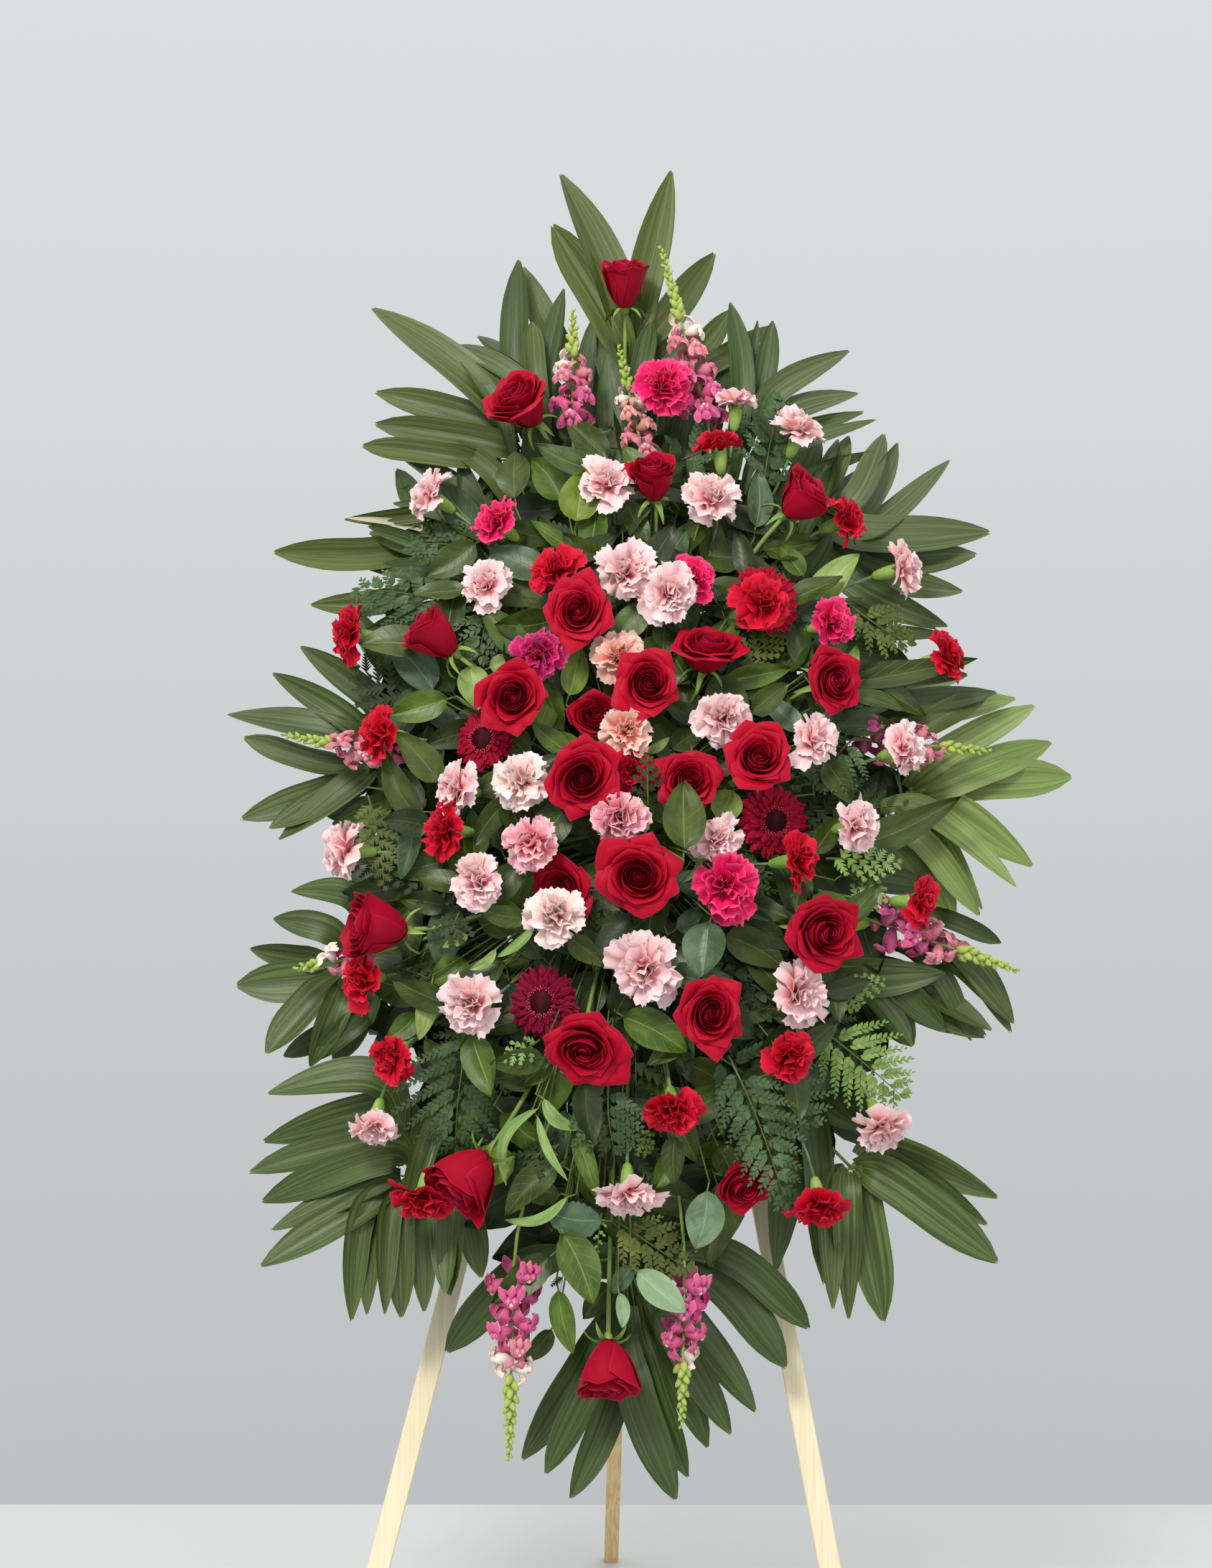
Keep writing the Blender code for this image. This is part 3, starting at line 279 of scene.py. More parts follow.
# Single palm leaflets between the fronds: tint, root, tip, width, height above the easel
STRAPS = [
    ("deep", -0.184, 1.745, -0.174, 1.896, 0.033, 0.075),
    ("deep", -0.145, 1.716, -0.113, 1.868, 0.029, 0.072),
    ("deep", -0.162, 1.743, -0.232, 1.8, 0.022, 0.07), ("mid", -0.155, 1.713, -0.255, 1.776, 0.025, 0.08),
    ("grey", -0.205, 1.693, -0.256, 1.757, 0.021, 0.085),
    ("deep", -0.093, 1.691, -0.073, 1.816, 0.022, 0.07),
    ("olive", -0.087, 1.654, -0.064, 1.759, 0.033, 0.085),
    ("deep", -0.016, 1.73, 0.065, 1.797, 0.029, 0.075), ("deep", -0.013, 1.713, 0.007, 1.81, 0.025, 0.072),
    ("deep", 0.131, 1.709, 0.113, 1.841, 0.029, 0.075), ("deep", 0.158, 1.721, 0.171, 1.815, 0.026, 0.072),
    ("deep", 0.139, 1.738, 0.15, 1.814, 0.014, 0.07), ("deep", 0.092, 1.69, 0.082, 1.794, 0.027, 0.072),
    ("deep", 0.037, 1.679, 0.05, 1.783, 0.027, 0.074), ("deep", -0.122, 1.648, -0.13, 1.741, 0.033, 0.074),
    ("deep", -0.038, 1.669, -0.032, 1.757, 0.027, 0.074),
    ("olive", -0.194, 1.579, -0.269, 1.642, 0.027, 0.09),
    ("deep", -0.224, 1.512, -0.252, 1.613, 0.029, 0.085),
    ("deep", -0.242, 1.574, -0.334, 1.578, 0.023, 0.08),
    ("deep", -0.232, 1.531, -0.34, 1.546, 0.023, 0.082),
    ("deep", -0.289, 1.487, -0.371, 1.51, 0.017, 0.084),
    ("dry", -0.289, 1.522, -0.402, 1.524, 0.009, 0.086),
    ("deep", -0.295, 1.284, -0.377, 1.355, 0.034, 0.085), ("mid", 0.157, 1.648, 0.293, 1.681, 0.019, 0.08),
    ("mid", 0.162, 1.612, 0.307, 1.663, 0.019, 0.082), ("mid", 0.185, 1.583, 0.312, 1.624, 0.017, 0.084),
    ("deep", 0.231, 1.548, 0.257, 1.647, 0.027, 0.086), ("mid", 0.258, 1.412, 0.381, 1.375, 0.021, 0.09),
    ("mid", 0.271, 1.364, 0.396, 1.372, 0.017, 0.088), ("deep", 0.284, 1.299, 0.414, 1.301, 0.034, 0.1),
    ("deep", 0.299, 1.26, 0.452, 1.279, 0.028, 0.11), ("olive", 0.356, 1.232, 0.444, 1.284, 0.03, 0.1),
    ("light", 0.303, 1.111, 0.389, 0.981, 0.031, 0.085),
    ("light", 0.338, 1.105, 0.42, 0.986, 0.028, 0.088), ("light", 0.359, 1.138, 0.47, 1.026, 0.035, 0.09),
    ("mid", 0.242, 0.901, 0.373, 0.912, 0.042, 0.115), ("deep", 0.269, 0.9, 0.33, 0.819, 0.031, 0.1),
    ("deep", 0.307, 0.903, 0.374, 0.84, 0.031, 0.105), ("mid", 0.326, 0.908, 0.431, 0.84, 0.033, 0.095),
    ("deep", 0.366, 0.925, 0.407, 0.83, 0.025, 0.1), ("mid", 0.382, 0.952, 0.459, 0.841, 0.028, 0.1),
    ("deep", 0.382, 0.982, 0.447, 0.952, 0.02, 0.09), ("deep", 0.19, 0.763, 0.27, 0.717, 0.024, 0.08),
    ("deep", 0.187, 0.76, 0.155, 0.542, 0.039, 0.085), ("deep", 0.211, 0.745, 0.214, 0.525, 0.032, 0.08),
    ("deep", -0.411, 0.84, -0.467, 0.813, 0.027, 0.084),
    ("deep", -0.388, 0.84, -0.432, 0.803, 0.027, 0.086), ("mid", -0.275, 0.72, -0.304, 0.605, 0.027, 0.1),
    ("deep", -0.246, 0.641, -0.248, 0.512, 0.03, 0.09), ("mid", 0.251, 1.343, 0.34, 1.323, 0.036, 0.1),
    ("deep", -0.232, 1.555, -0.333, 1.616, 0.033, 0.078),
    ("deep", 0.264, 1.039, 0.362, 1.026, 0.033, 0.084),
    ("deep", -0.328, 1.139, -0.411, 1.111, 0.033, 0.084),
    ("deep", 0.186, 1.542, 0.232, 1.659, 0.035, 0.078), ("deep", -0.048, 1.65, -0.054, 1.764, 0.031, 0.07),
    ("deep", -0.25, 1.446, -0.372, 1.462, 0.03, 0.084), ("deep", -0.25, 1.404, -0.376, 1.374, 0.028, 0.08),
    ("deep", 0.09, 1.545, 0.126, 1.651, 0.039, 0.078), ("deep", 0.044, 1.597, 0.061, 1.704, 0.037, 0.074),
    ("deep", -0.131, 1.564, -0.16, 1.666, 0.039, 0.08),
    ("deep", -0.287, 0.92, -0.375, 0.941, 0.033, 0.088),
    ("deep", 0.001, 1.434, -0.003, 1.513, 0.038, 0.11), ("deep", -0.025, 1.507, -0.044, 1.571, 0.036, 0.1),
    ("deep", 0.19, 1.433, 0.24, 1.503, 0.036, 0.105), ("deep", -0.192, 1.431, -0.253, 1.479, 0.036, 0.1),
    ("deep", -0.259, 0.783, -0.317, 0.799, 0.027, 0.088),
    ("olive", -0.152, 1.725, -0.156, 1.809, 0.025, 0.074),
    ("deep", -0.04, 1.715, -0.07, 1.805, 0.028, 0.062), ("deep", 0.09, 1.68, 0.114, 1.768, 0.026, 0.062),
    ("deep", 0.225, 1.51, 0.285, 1.61, 0.032, 0.062), ("deep", -0.285, 1.515, -0.34, 1.612, 0.034, 0.062),
    ("deep", -0.01, 1.41, 0.008, 1.49, 0.032, 0.066), ("deep", -0.345, 1.335, -0.392, 1.41, 0.032, 0.062),
    ("deep", -0.345, 1.13, -0.42, 1.128, 0.032, 0.064),
]

# Broad leaves that show between the flowers: kind, root, tip, width, how far behind the dome
LEAVES = [
    ("round", -0.174, 1.525, -0.179, 1.594, 0.048, 0.045),
    ("mid", -0.112, 1.517, -0.153, 1.582, 0.045, 0.05),
    ("young", -0.094, 1.482, -0.083, 1.549, 0.052, 0.035),
    ("dark", -0.053, 1.581, -0.108, 1.637, 0.039, 0.05),
    ("mid", -0.085, 1.446, -0.151, 1.486, 0.026, 0.055), ("blue", 0.0, 1.423, 0.047, 1.476, 0.042, 0.05),
    ("dark", 0.118, 1.447, 0.065, 1.455, 0.046, 0.065), ("blue", 0.138, 1.487, 0.145, 1.565, 0.035, 0.055),
    ("mid", -0.007, 1.363, -0.054, 1.313, 0.04, 0.035),
    ("young", -0.102, 1.244, -0.086, 1.309, 0.034, 0.045),
    ("blue", -0.111, 1.244, -0.117, 1.289, 0.025, 0.05),
    ("pale", -0.227, 1.285, -0.215, 1.226, 0.04, 0.035),
    ("pale", -0.203, 1.288, -0.166, 1.301, 0.025, 0.05), ("mid", 0.092, 1.267, 0.177, 1.286, 0.031, 0.055),
    ("dark", 0.111, 1.25, 0.159, 1.26, 0.022, 0.06), ("pale", 0.23, 1.259, 0.264, 1.321, 0.024, 0.045),
    ("dark", 0.254, 1.282, 0.42, 1.311, 0.031, 0.07), ("dark", 0.286, 1.281, 0.356, 1.245, 0.031, 0.055),
    ("blue", 0.263, 1.248, 0.335, 1.291, 0.041, 0.08), ("dark", 0.211, 1.052, 0.394, 1.131, 0.045, 0.075),
    ("pale", 0.205, 1.376, 0.27, 1.446, 0.042, 0.055), ("mid", 0.199, 1.424, 0.169, 1.465, 0.028, 0.06),
    ("blue", -0.276, 1.264, -0.334, 1.331, 0.049, 0.055), ("mid", -0.255, 1.247, -0.33, 1.225, 0.04, 0.04),
    ("dark", -0.287, 1.092, -0.333, 1.18, 0.036, 0.045), ("blue", -0.294, 1.091, -0.314, 1.02, 0.03, 0.04),
    ("round", -0.151, 1.171, -0.184, 1.205, 0.039, 0.06),
    ("mid", -0.102, 1.171, -0.146, 1.208, 0.029, 0.05),
    ("young", -0.082, 1.172, -0.129, 1.201, 0.025, 0.05),
    ("dark", -0.183, 1.142, -0.215, 1.091, 0.029, 0.06),
    ("dark", -0.165, 1.081, -0.213, 1.067, 0.034, 0.06),
    ("mid", -0.123, 1.101, -0.177, 1.087, 0.018, 0.05),
    ("blue", -0.206, 1.076, -0.229, 1.037, 0.029, 0.06), ("dark", -0.24, 1.08, -0.285, 1.01, 0.054, 0.08),
    ("olive", 0.038, 1.031, 0.039, 1.117, 0.054, -0.022),
    ("young", 0.101, 1.123, 0.081, 1.076, 0.039, 0.05), ("dark", 0.026, 1.174, 0.073, 1.21, 0.03, 0.05),
    ("pale", -0.006, 1.167, 0.023, 1.186, 0.012, 0.04), ("blue", 0.069, 0.95, 0.057, 0.88, 0.055, 0.018),
    ("dark", 0.091, 0.944, 0.163, 0.903, 0.044, 0.06), ("dark", 0.111, 0.986, 0.171, 0.964, 0.032, 0.06),
    ("mid", -0.035, 0.84, 0.041, 0.798, 0.047, 0.03), ("pale", -0.27, 0.886, -0.282, 0.818, 0.028, 0.04),
    ("mid", -0.291, 0.854, -0.327, 0.821, 0.03, 0.06), ("olive", -0.125, 0.787, -0.157, 0.761, 0.03, 0.05),
    ("dark", -0.115, 0.666, -0.179, 0.609, 0.04, 0.06), ("mid", -0.094, 0.706, -0.066, 0.624, 0.024, 0.05),
    ("tooth", -0.061, 0.6, -0.128, 0.609, 0.045, 0.035),
    ("grey", 0.067, 0.635, 0.052, 0.567, 0.047, 0.035), ("mid", 0.033, 0.679, 0.005, 0.637, 0.03, 0.05),
    ("dark", 0.081, 0.69, 0.101, 0.646, 0.033, 0.06), ("mid", -0.107, 0.584, -0.071, 0.5, 0.049, 0.03),
    ("dark", -0.124, 0.558, -0.194, 0.502, 0.04, 0.04), ("mid", -0.114, 0.518, -0.097, 0.443, 0.03, 0.045),
    ("dark", -0.123, 0.472, -0.16, 0.433, 0.025, 0.055),
    ("frost", -0.017, 0.539, 0.041, 0.49, 0.038, 0.025),
    ("blue", -0.025, 0.547, -0.051, 0.515, 0.023, 0.04),
    ("frost", -0.04, 0.514, -0.035, 0.473, 0.017, 0.02),
    ("dark", -0.051, 0.525, -0.084, 0.484, 0.035, 0.07),
    ("dark", -0.183, 0.91, -0.144, 0.948, 0.035, 0.07), ("mid", -0.228, 0.916, -0.274, 0.891, 0.044, 0.07),
    ("dark", -0.256, 0.987, -0.312, 0.992, 0.03, 0.07),
    ("young", -0.226, 0.945, -0.257, 0.929, 0.014, 0.045),
    ("curl", -0.131, 0.743, -0.089, 0.712, 0.017, 0.03),
    ("curl", -0.138, 0.732, -0.178, 0.641, 0.013, 0.03), ("curl", -0.139, 0.722, -0.1, 0.648, 0.011, 0.03),
    ("curl", -0.103, 0.627, -0.18, 0.6, 0.013, 0.03), ("curl", -0.191, 0.925, -0.222, 0.9, 0.012, 0.04),
    ("curl", -0.143, 0.953, -0.191, 0.919, 0.012, 0.045),
    ("curl", 0.053, 1.046, 0.041, 1.006, 0.008, 0.03),
]

# Fern fronds that show: tint, root, tip, how long their side leaflets are, how far behind the
# dome
FERNS = [
    ("deep", -0.218, 1.372, -0.386, 1.424, 0.065, 0.07),
    ("deep", -0.225, 1.456, -0.315, 1.469, 0.045, 0.06),
    ("deep", -0.223, 0.833, -0.241, 0.683, 0.081, 0.055),
    ("deep", 0.068, 0.804, 0.201, 0.713, 0.077, 0.05), ("deep", 0.092, 0.792, 0.163, 0.611, 0.053, 0.01),
    ("deep", -0.051, 0.769, -0.045, 0.679, 0.052, 0.04), ("olive", -0.044, 0.601, 0.048, 0.54, 0.04, 0.05),
    ("light", 0.204, 0.837, 0.315, 0.752, 0.055, 0.05),
    ("light", 0.211, 0.865, 0.264, 0.864, 0.021, 0.055), ("light", 0.218, 1.044, 0.318, 1.043, 0.03, 0.05),
    ("deep", 0.265, 1.208, 0.209, 1.133, 0.053, 0.05), ("deep", 0.149, 1.539, 0.18, 1.696, 0.053, 0.06),
    ("olive", 0.264, 1.385, 0.342, 1.339, 0.037, 0.055),
    ("olive", 0.113, 1.285, 0.179, 1.347, 0.031, 0.06), ("deep", 0.099, 1.378, 0.018, 1.371, 0.028, 0.07),
    ("deep", -0.195, 1.38, -0.216, 1.297, 0.04, 0.06),
    ("olive", -0.358, 1.134, -0.333, 1.004, 0.031, 0.06),
    ("light", -0.136, 0.813, -0.181, 0.789, 0.019, 0.03),
    ("deep", -0.004, 1.09, -0.005, 1.157, 0.021, 0.015),
    ("light", -0.061, 0.609, -0.066, 0.558, 0.01, 0.05),
    ("light", 0.257, 0.983, 0.293, 1.022, 0.027, 0.06), ("deep", -0.311, 0.911, -0.237, 0.872, 0.03, 0.07),
    ("deep", -0.13, 0.696, -0.165, 0.654, 0.03, 0.07), ("olive", -0.006, 0.964, 0.047, 0.912, 0.039, 0.07),
    ("deep", 0.137, 0.987, 0.092, 0.941, 0.036, 0.08), ("deep", 0.083, 0.994, 0.138, 1.028, 0.036, 0.08),
    ("olive", -0.024, 0.719, -0.003, 0.677, 0.021, 0.045),
    ("deep", 0.044, 1.591, 0.083, 1.616, 0.047, 0.07), ("deep", -0.095, 0.921, -0.05, 0.947, 0.039, 0.07),
    ("deep", -0.237, 0.975, -0.263, 0.923, 0.03, 0.05), ("light", 0.23, 0.886, 0.296, 0.899, 0.02, 0.06),
]

# Kinds of leaf: body, lighter patches, veins, and how far along the leaf is widest
LEAF_KINDS = {
    # The deep kind's dark colour is painted shade, for leaves that lie behind the flowers
    "deep": ((32, 44, 12), (48, 64, 20), (72, 88, 38), 0.72),
    "dark": ((42, 60, 12), (64, 84, 26), (110, 128, 62), 0.72),
    "round": ((50, 66, 16), (74, 92, 30), (116, 132, 66), 1.0),
    "mid": ((62, 86, 20), (88, 114, 38), (142, 162, 86), 0.78),
    "olive": ((52, 66, 14), (74, 88, 26), (120, 128, 66), 0.80),
    "young": ((92, 114, 30), (122, 142, 52), (168, 180, 100), 0.74),
    "blue": ((60, 84, 54), (88, 112, 84), (130, 148, 116), 0.78),
    "pale": ((122, 146, 70), (150, 172, 100), (190, 204, 140), 0.74),
    "grey": ((86, 110, 80), (110, 134, 102), (146, 164, 128), 0.90),
    "tooth": ((66, 92, 66), (90, 116, 86), (132, 152, 116), 0.86),
    "frost": ((128, 156, 116), (150, 176, 140), (184, 200, 166), 0.86),
    "curl": ((118, 150, 78), (150, 178, 106), (176, 196, 132), 0.90),
}
# Leaves packed behind the flowers: layer, their share, how far behind the dome, how long, how far out they
# reach, kinds and grid. The deep kind in the back layers is painted shade.
LEAF_LAYERS = (
    ("under", 0.28, (0.30, 0.32), (0.15, 0.19), (0.31, 0.55), "deep", (8, 5)),
    ("inner", 0.32, (0.09, 0.14), (0.09, 0.13), (0.32, 0.55), "deep dark deep olive", (9, 5)),
    ("outer", 0.40, (0.045, 0.09), (0.055, 0.09), (0.31, 0.53),
     "dark mid dark olive blue dark young", (10, 5)))
LOWEST_LEAF_W = (0.062, 0.085)
COLLAR_KINDS = "dark mid dark round olive deep dark blue".split()
COLLAR_HALF = (0.36, 0.60)
COLLAR_SHARE = 0.8
COVER_DROP = 0.026


def draws(kind, number=0):
    """Random numbers that are the same in every run."""
    return np.random.default_rng(SEEDS[kind] + number)


def unit(vectors):
    """Vectors of length one."""
    return vectors / np.maximum(np.linalg.norm(vectors, axis=-1, keepdims=True), 1e-9)


def spoke(turn):
    """The direction at a turn about the axis of a bloom."""
    return np.array([math.cos(turn), math.sin(turn), 0.0])


def stations(start, ahead, shares):
    """Points along a straight line."""
    return start + np.asarray(shares)[:, None] * ahead


def ease(values, low, high):
    """A smooth step from 0 at low to 1 at high."""
    x = np.clip((values - low) / (high - low), 0.0, 1.0)
    return x * x * (3.0 - 2.0 * x)


def to_world(points):
    """Points of the leaning plane as points of the room."""
    u, v, w = points[..., 0], points[..., 1], points[..., 2]
    return np.stack([u, FEET_Y + v * math.sin(LEAN) - w * math.cos(LEAN),
                     v * math.cos(LEAN) + w * math.sin(LEAN)], axis=-1)


def dome(u, v):
    """How far the front of the spray stands out at a place."""
    fall = ((u - HOLDER[0]) / DOME_HALF[0]) ** 2 + ((v - HOLDER[1]) / DOME_HALF[1]) ** 2
    return DOME_EDGE + DOME_RISE * max(0.0, 1.0 - fall)


def under_dome(u, v, sink):
    """The point that lies so far behind the dome."""
    return np.array([u, v, dome(u, v) - sink])


# Where the flowers are: place, how far out, half width
BLOOMS = [(u, v, dome(u, v) - sink, width / 2)
          for _, u, v, sink, width, *_ in ROSES + GERBERAS + CARNATIONS]


def tuck(u, v, w, reach):
    """Sinks a leaf that would otherwise cover a flower."""
    for bloom_u, bloom_v, bloom_w, radius in BLOOMS:
        if math.hypot(u - bloom_u, v - bloom_v) < radius + reach:
            w = min(w, bloom_w - COVER_DROP)
    return w


def bezier(s, controls):
    """A cubic curve through numbers or points."""
    a, b, c, d = (np.asarray(control, float) for control in controls)
    if a.ndim:
        s = np.asarray(s)[..., None]
    r = 1.0 - s
    return a * r ** 3 + 3 * b * r * r * s + 3 * c * r * s * s + d * s ** 3


def arch(s, start, bend, end):
    """A curve from start to end that bends towards a third point."""
    s = s[:, None]
    return (1 - s) ** 2 * start + 2 * (s * (1 - s)) * bend + s ** 2 * end


def point_at(path, place):
    """The point of a path at a place between two of its points."""
    return np.array([np.interp(place, range(len(path)), path[:, k]) for k in range(3)])


def guide_for(direction):
    """An axis that is well away from a direction."""
    return np.array([0.0, 1.0, 0.0]) if abs(direction[1]) < 0.9 else np.array([1.0, 0.0, 0.0])


def axes_for(facing, turn=0.0):
    """Rows: two directions square to facing, turned about it, and facing itself."""
    z = unit(np.asarray(facing, float))
    x = unit(np.cross(guide_for(z), z))
    y = np.cross(z, x)
    c, s = math.cos(turn), math.sin(turn)
    return np.array([c * x + s * y, c * y - s * x, z])


def blade(path, facing, half, rows, cols, top=None, lift=None):
    """A leaf or petal swept along a path, as a grid of points.

    half is half its width along the path, top is how much of the path each column reaches,
    and lift is how far each point stands off the middle plane.
    """
    at = np.linspace(0.0, 1.0, len(path))
    t = np.linspace(-1.0, 1.0, cols)
    reach = np.linspace(0.0, 1.0, rows)[:, None] * (np.ones(cols) if top is None else top(t))
    tangent = unit(np.gradient(path, axis=0))
    side = unit(np.cross(tangent, facing))

    def along(values):
        return np.stack([np.interp(reach, at, values[:, k]) for k in range(3)], axis=-1)

    grid = along(path) + along(side) * (half(reach) * t)[..., None]
    if lift is not None:
        grid = grid + along(np.cross(side, tangent)) * lift(reach, t)[..., None]
    return grid


def quads(index, order=(0, 1, 2, 3)):
    """Four-cornered faces over a grid of point numbers."""
    ring = (index[:-1, :-1], index[:-1, 1:], index[1:, 1:], index[1:, :-1])
    return np.stack([ring[k].ravel() for k in order], axis=1)


class Growth:
    """Gathers the closed sheets and rods of one piece into a mesh."""

    def __init__(self):
        self.parts = []
        self.count = 0

    def put(self, points, faces, place, slot, rim, reverse):
        """Adds points, their faces, and what each point knows."""
        corners = np.concatenate([face.ravel() for face in faces]) + self.count
        sizes = np.concatenate([np.full(len(face), face.shape[1]) for face in faces])
        self.parts.append((points, corners, sizes, np.full(len(sizes), slot), place, rim, reverse))
        self.count += len(points)

    def sheet(self, grid, thickness, slot=0, chance=0.0):
        """A thin closed sheet that tapers to its rim."""
        rows, cols = grid.shape[:2]
        normal = unit(np.cross(np.gradient(grid, axis=1), np.gradient(grid, axis=0)))
        inner = (grid - normal * thickness)[1:-1, 1:-1].reshape(-1, 3)
        front = np.arange(rows * cols).reshape(rows, cols)
        back = front.copy()
        back[1:-1, 1:-1] = rows * cols + np.arange(len(inner)).reshape(rows - 2, cols - 2)
        across, along = np.meshgrid(np.linspace(-1, 1, cols), np.linspace(0, 1, rows))
        flat = np.stack([across, along, np.full_like(across, chance)], axis=-1)
        place = np.concatenate([flat.reshape(-1, 3), flat[1:-1, 1:-1].reshape(-1, 3)])
        rim = np.ones((rows, cols), bool)
        rim[1:-1, 1:-1] = False
        # Both skins are cut along the same diagonals, so that they never cross
        self.put(np.concatenate([grid.reshape(-1, 3), inner]),
                 [quads(front), quads(back, (0, 3, 2, 1))], place, slot,
                 np.concatenate([rim.ravel(), np.zeros(len(inner), bool)]),
                 np.repeat([0.0, 1.0], [rows * cols, len(inner)]))

    def rod(self, path, radii, sides=7, slot=1, chance=0.0):
        """A closed round rod along a path, with a radius for each of its points."""
        path = np.asarray(path, float)
        tangent = unit(np.gradient(path, axis=0))
        across = guide_for(tangent[0])
        turns = np.linspace(0, math.tau, sides, endpoint=False)[:, None]
        rings = []
        for point, radius, ahead in zip(path, np.broadcast_to(radii, len(path)), tangent):
            across = unit(across - ahead * np.dot(across, ahead))
            rings.append(point + radius * (np.cos(turns) * across
                                           + np.sin(turns) * np.cross(ahead, across)))
        index = np.arange(len(path) * sides).reshape(len(path), sides)
        along = np.repeat(np.linspace(0, 1, len(path)), sides)
        place = np.stack([np.tile(np.cos(turns[:, 0]), len(path)), along,
                          np.full_like(along, chance)], axis=1)
        walls = quads(np.column_stack([index, index[:, 0]]))
        self.put(np.concatenate(rings), [walls, index[:1, ::-1], index[-1:]], place, slot,
                 np.zeros(len(along), bool), np.zeros(len(along)))

    def piece(self, name, finishes, slot, nodes=()):
        """Makes the mesh and its object, riding the stand. nodes are the CAD nodes it replaces."""
        points, corners, sizes, slots, place, rims, reverse = map(np.concatenate,
                                                                  zip(*self.parts))
        mesh = bpy.data.meshes.new(name)
        mesh.vertices.add(len(points))
        mesh.loops.add(len(corners))
        mesh.polygons.add(len(sizes))
        for rows, key, values, kind in (
                (mesh.vertices, "co", to_world(points), np.float32),
                (mesh.loops, "vertex_index", corners, np.int32),
                (mesh.polygons, "loop_start", np.cumsum(sizes) - sizes, np.int32),
                (mesh.polygons, "material_index", slots, np.int32),
                (mesh.polygons, "use_smooth", np.ones(len(sizes)), bool)):
            rows.foreach_set(key, values.astype(kind).ravel())
        mesh.update(calc_edges=True)
        ends = np.zeros(len(mesh.edges) * 2, np.int32)
        mesh.edges.foreach_get("vertices", ends)
        sharp = rims[ends.reshape(-1, 2)].all(axis=1)
        for key, kind, domain, field, values in (
                ("sharp_edge", "BOOLEAN", "EDGE", "value", sharp),
                (PLACE, "FLOAT_VECTOR", "POINT", "vector", place.astype(np.float32)),
                (REVERSE, "FLOAT", "POINT", "value", reverse.astype(np.float32))):
            mesh.attributes.new(key, kind, domain).data.foreach_set(field, values.ravel())
        for finish in finishes:
            mesh.materials.append(finish)
        obj = bpy.data.objects.new(name, mesh)
        bpy.context.collection.objects.link(obj)
        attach(obj, BODY)
        if nodes:
            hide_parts(*nodes)


def stem_route(u, v, base, facing, spread=STEM_SPREAD):
    """Points of a stem that rises out of the foam and bends over to the base of its flower."""
    off_v = spread[1] * (v - HOLDER[1])
    bay = math.floor(off_v / CAGE_BAY + 0.5) * CAGE_BAY
    off_v = bay + min(max(off_v - bay, -BAY_MARGIN), BAY_MARGIN)
    entry = np.array([HOLDER[0] + spread[0] * (u - HOLDER[0]), HOLDER[1] + off_v, STEM_BOTTOM_W])
    start = np.array([*entry[:2], STEM_START_W])
    reach = np.linalg.norm(base - start)
    lifted = start + np.array([0.0, 0.0, min(0.30 * reach, 0.07)])
    curve = bezier(np.linspace(0, 1, 12), (start, lifted, base - facing * 0.33 * reach, base))
    return np.concatenate([entry[None], curve])


def rose_petal(p, openness, turn, radius, length, rng):
    """One petal of a rose: p runs from 0 at the heart to 1 at the outside."""
    rows, cols = (6, 8) if p < 0.28 else (8, 11) if p < 0.6 else (11, 13)
    s = np.linspace(0, 1, rows)[:, None]
    t = np.linspace(-1, 1, cols)[None, :]
    wave, twist = rng.uniform(*ANY_TURN, 2)
    off = rng.integers(-2, 3) * 2 / (cols - 1)
    corner = np.abs(t - off) / (1 + abs(off))
    flare = openness * min(1.0, p * 1.2)
    point = 0.05 * p * np.exp(-(corner / 0.15) ** 2) * rng.uniform(0.4, 1.2)
    reach = s * (0.96 - 0.03 * corner - 0.12 * corner ** 5 + point)
    wide = (0.06 + 0.83 * p ** 0.92) * (1.12 - 0.12 * openness) * rng.uniform(0.93, 1.07)
    bell = max(flare, 0.72 * (1 - openness) * p ** 3)
    cone = 0.9 * (1 - openness) * p ** 1.5
    lip = wide * (0.80 + 0.38 * bell ** 0.8) * (1 + 0.12 * cone)
    r = bezier(reach, (0.07, wide * (1.20 - 0.45 * flare) * (1 - 0.55 * cone),
                       wide * (1.14 - 0.46 * bell) * (1 - 0.06 * cone), lip))
    crest = 0.88 + 0.12 * float(ease(np.float64(p), 0.0, 0.38)) - 0.22 * flare ** 1.6
    foot = 0.03 + 0.38 * (1 - p) ** 2
    z = bezier(reach, (foot, foot + 0.14 + 0.12 * flare, 0.68 * crest + 0.24 * flare,
                       crest * rng.uniform(0.96, 1.04)))
    fold = np.clip((corner - 0.03) / 0.97, 0, 1) * ease(reach, 0.40, 1.0) * p ** 0.8
    roll = ease(reach, 0.80, 1.0) * p * rng.uniform(0.3, 1.2)
    r = r * (1 - (0.09 + 0.09 * openness) * fold) + (0.07 - 0.04 * openness) * roll
    r = r + point * s ** 6
    r = r + 0.014 * np.sin(3.1 * t + wave) * reach
    r = r + 0.035 * p ** 2 * np.sin(2.2 * t + 2 * wave) * reach ** 1.5
    z = z - (0.10 + 0.14 * openness) * fold - 0.07 * roll
    z = z + (0.014 + 0.020 * p) * np.sin(3.6 * t + twist) * reach ** 2
    half = 1.95 - 1.05 * p ** 0.6 + 0.25 * (1 - openness) * p
    angle = t * half * (0.35 + 0.65 * np.sin(np.minimum(reach / 0.7, 1.0) * math.pi / 2))
    r = r * (1 + (0.20 - 0.12 * p) * t)
    flat = 0.10 * openness * p
    out = radius * r * ((1 - flat) * np.cos(angle) + flat)
    side = radius * r * np.sin(angle)
    c, n = math.cos(turn), math.sin(turn)
    return np.stack([out * c - side * n, out * n + side * c, z * length], axis=-1)


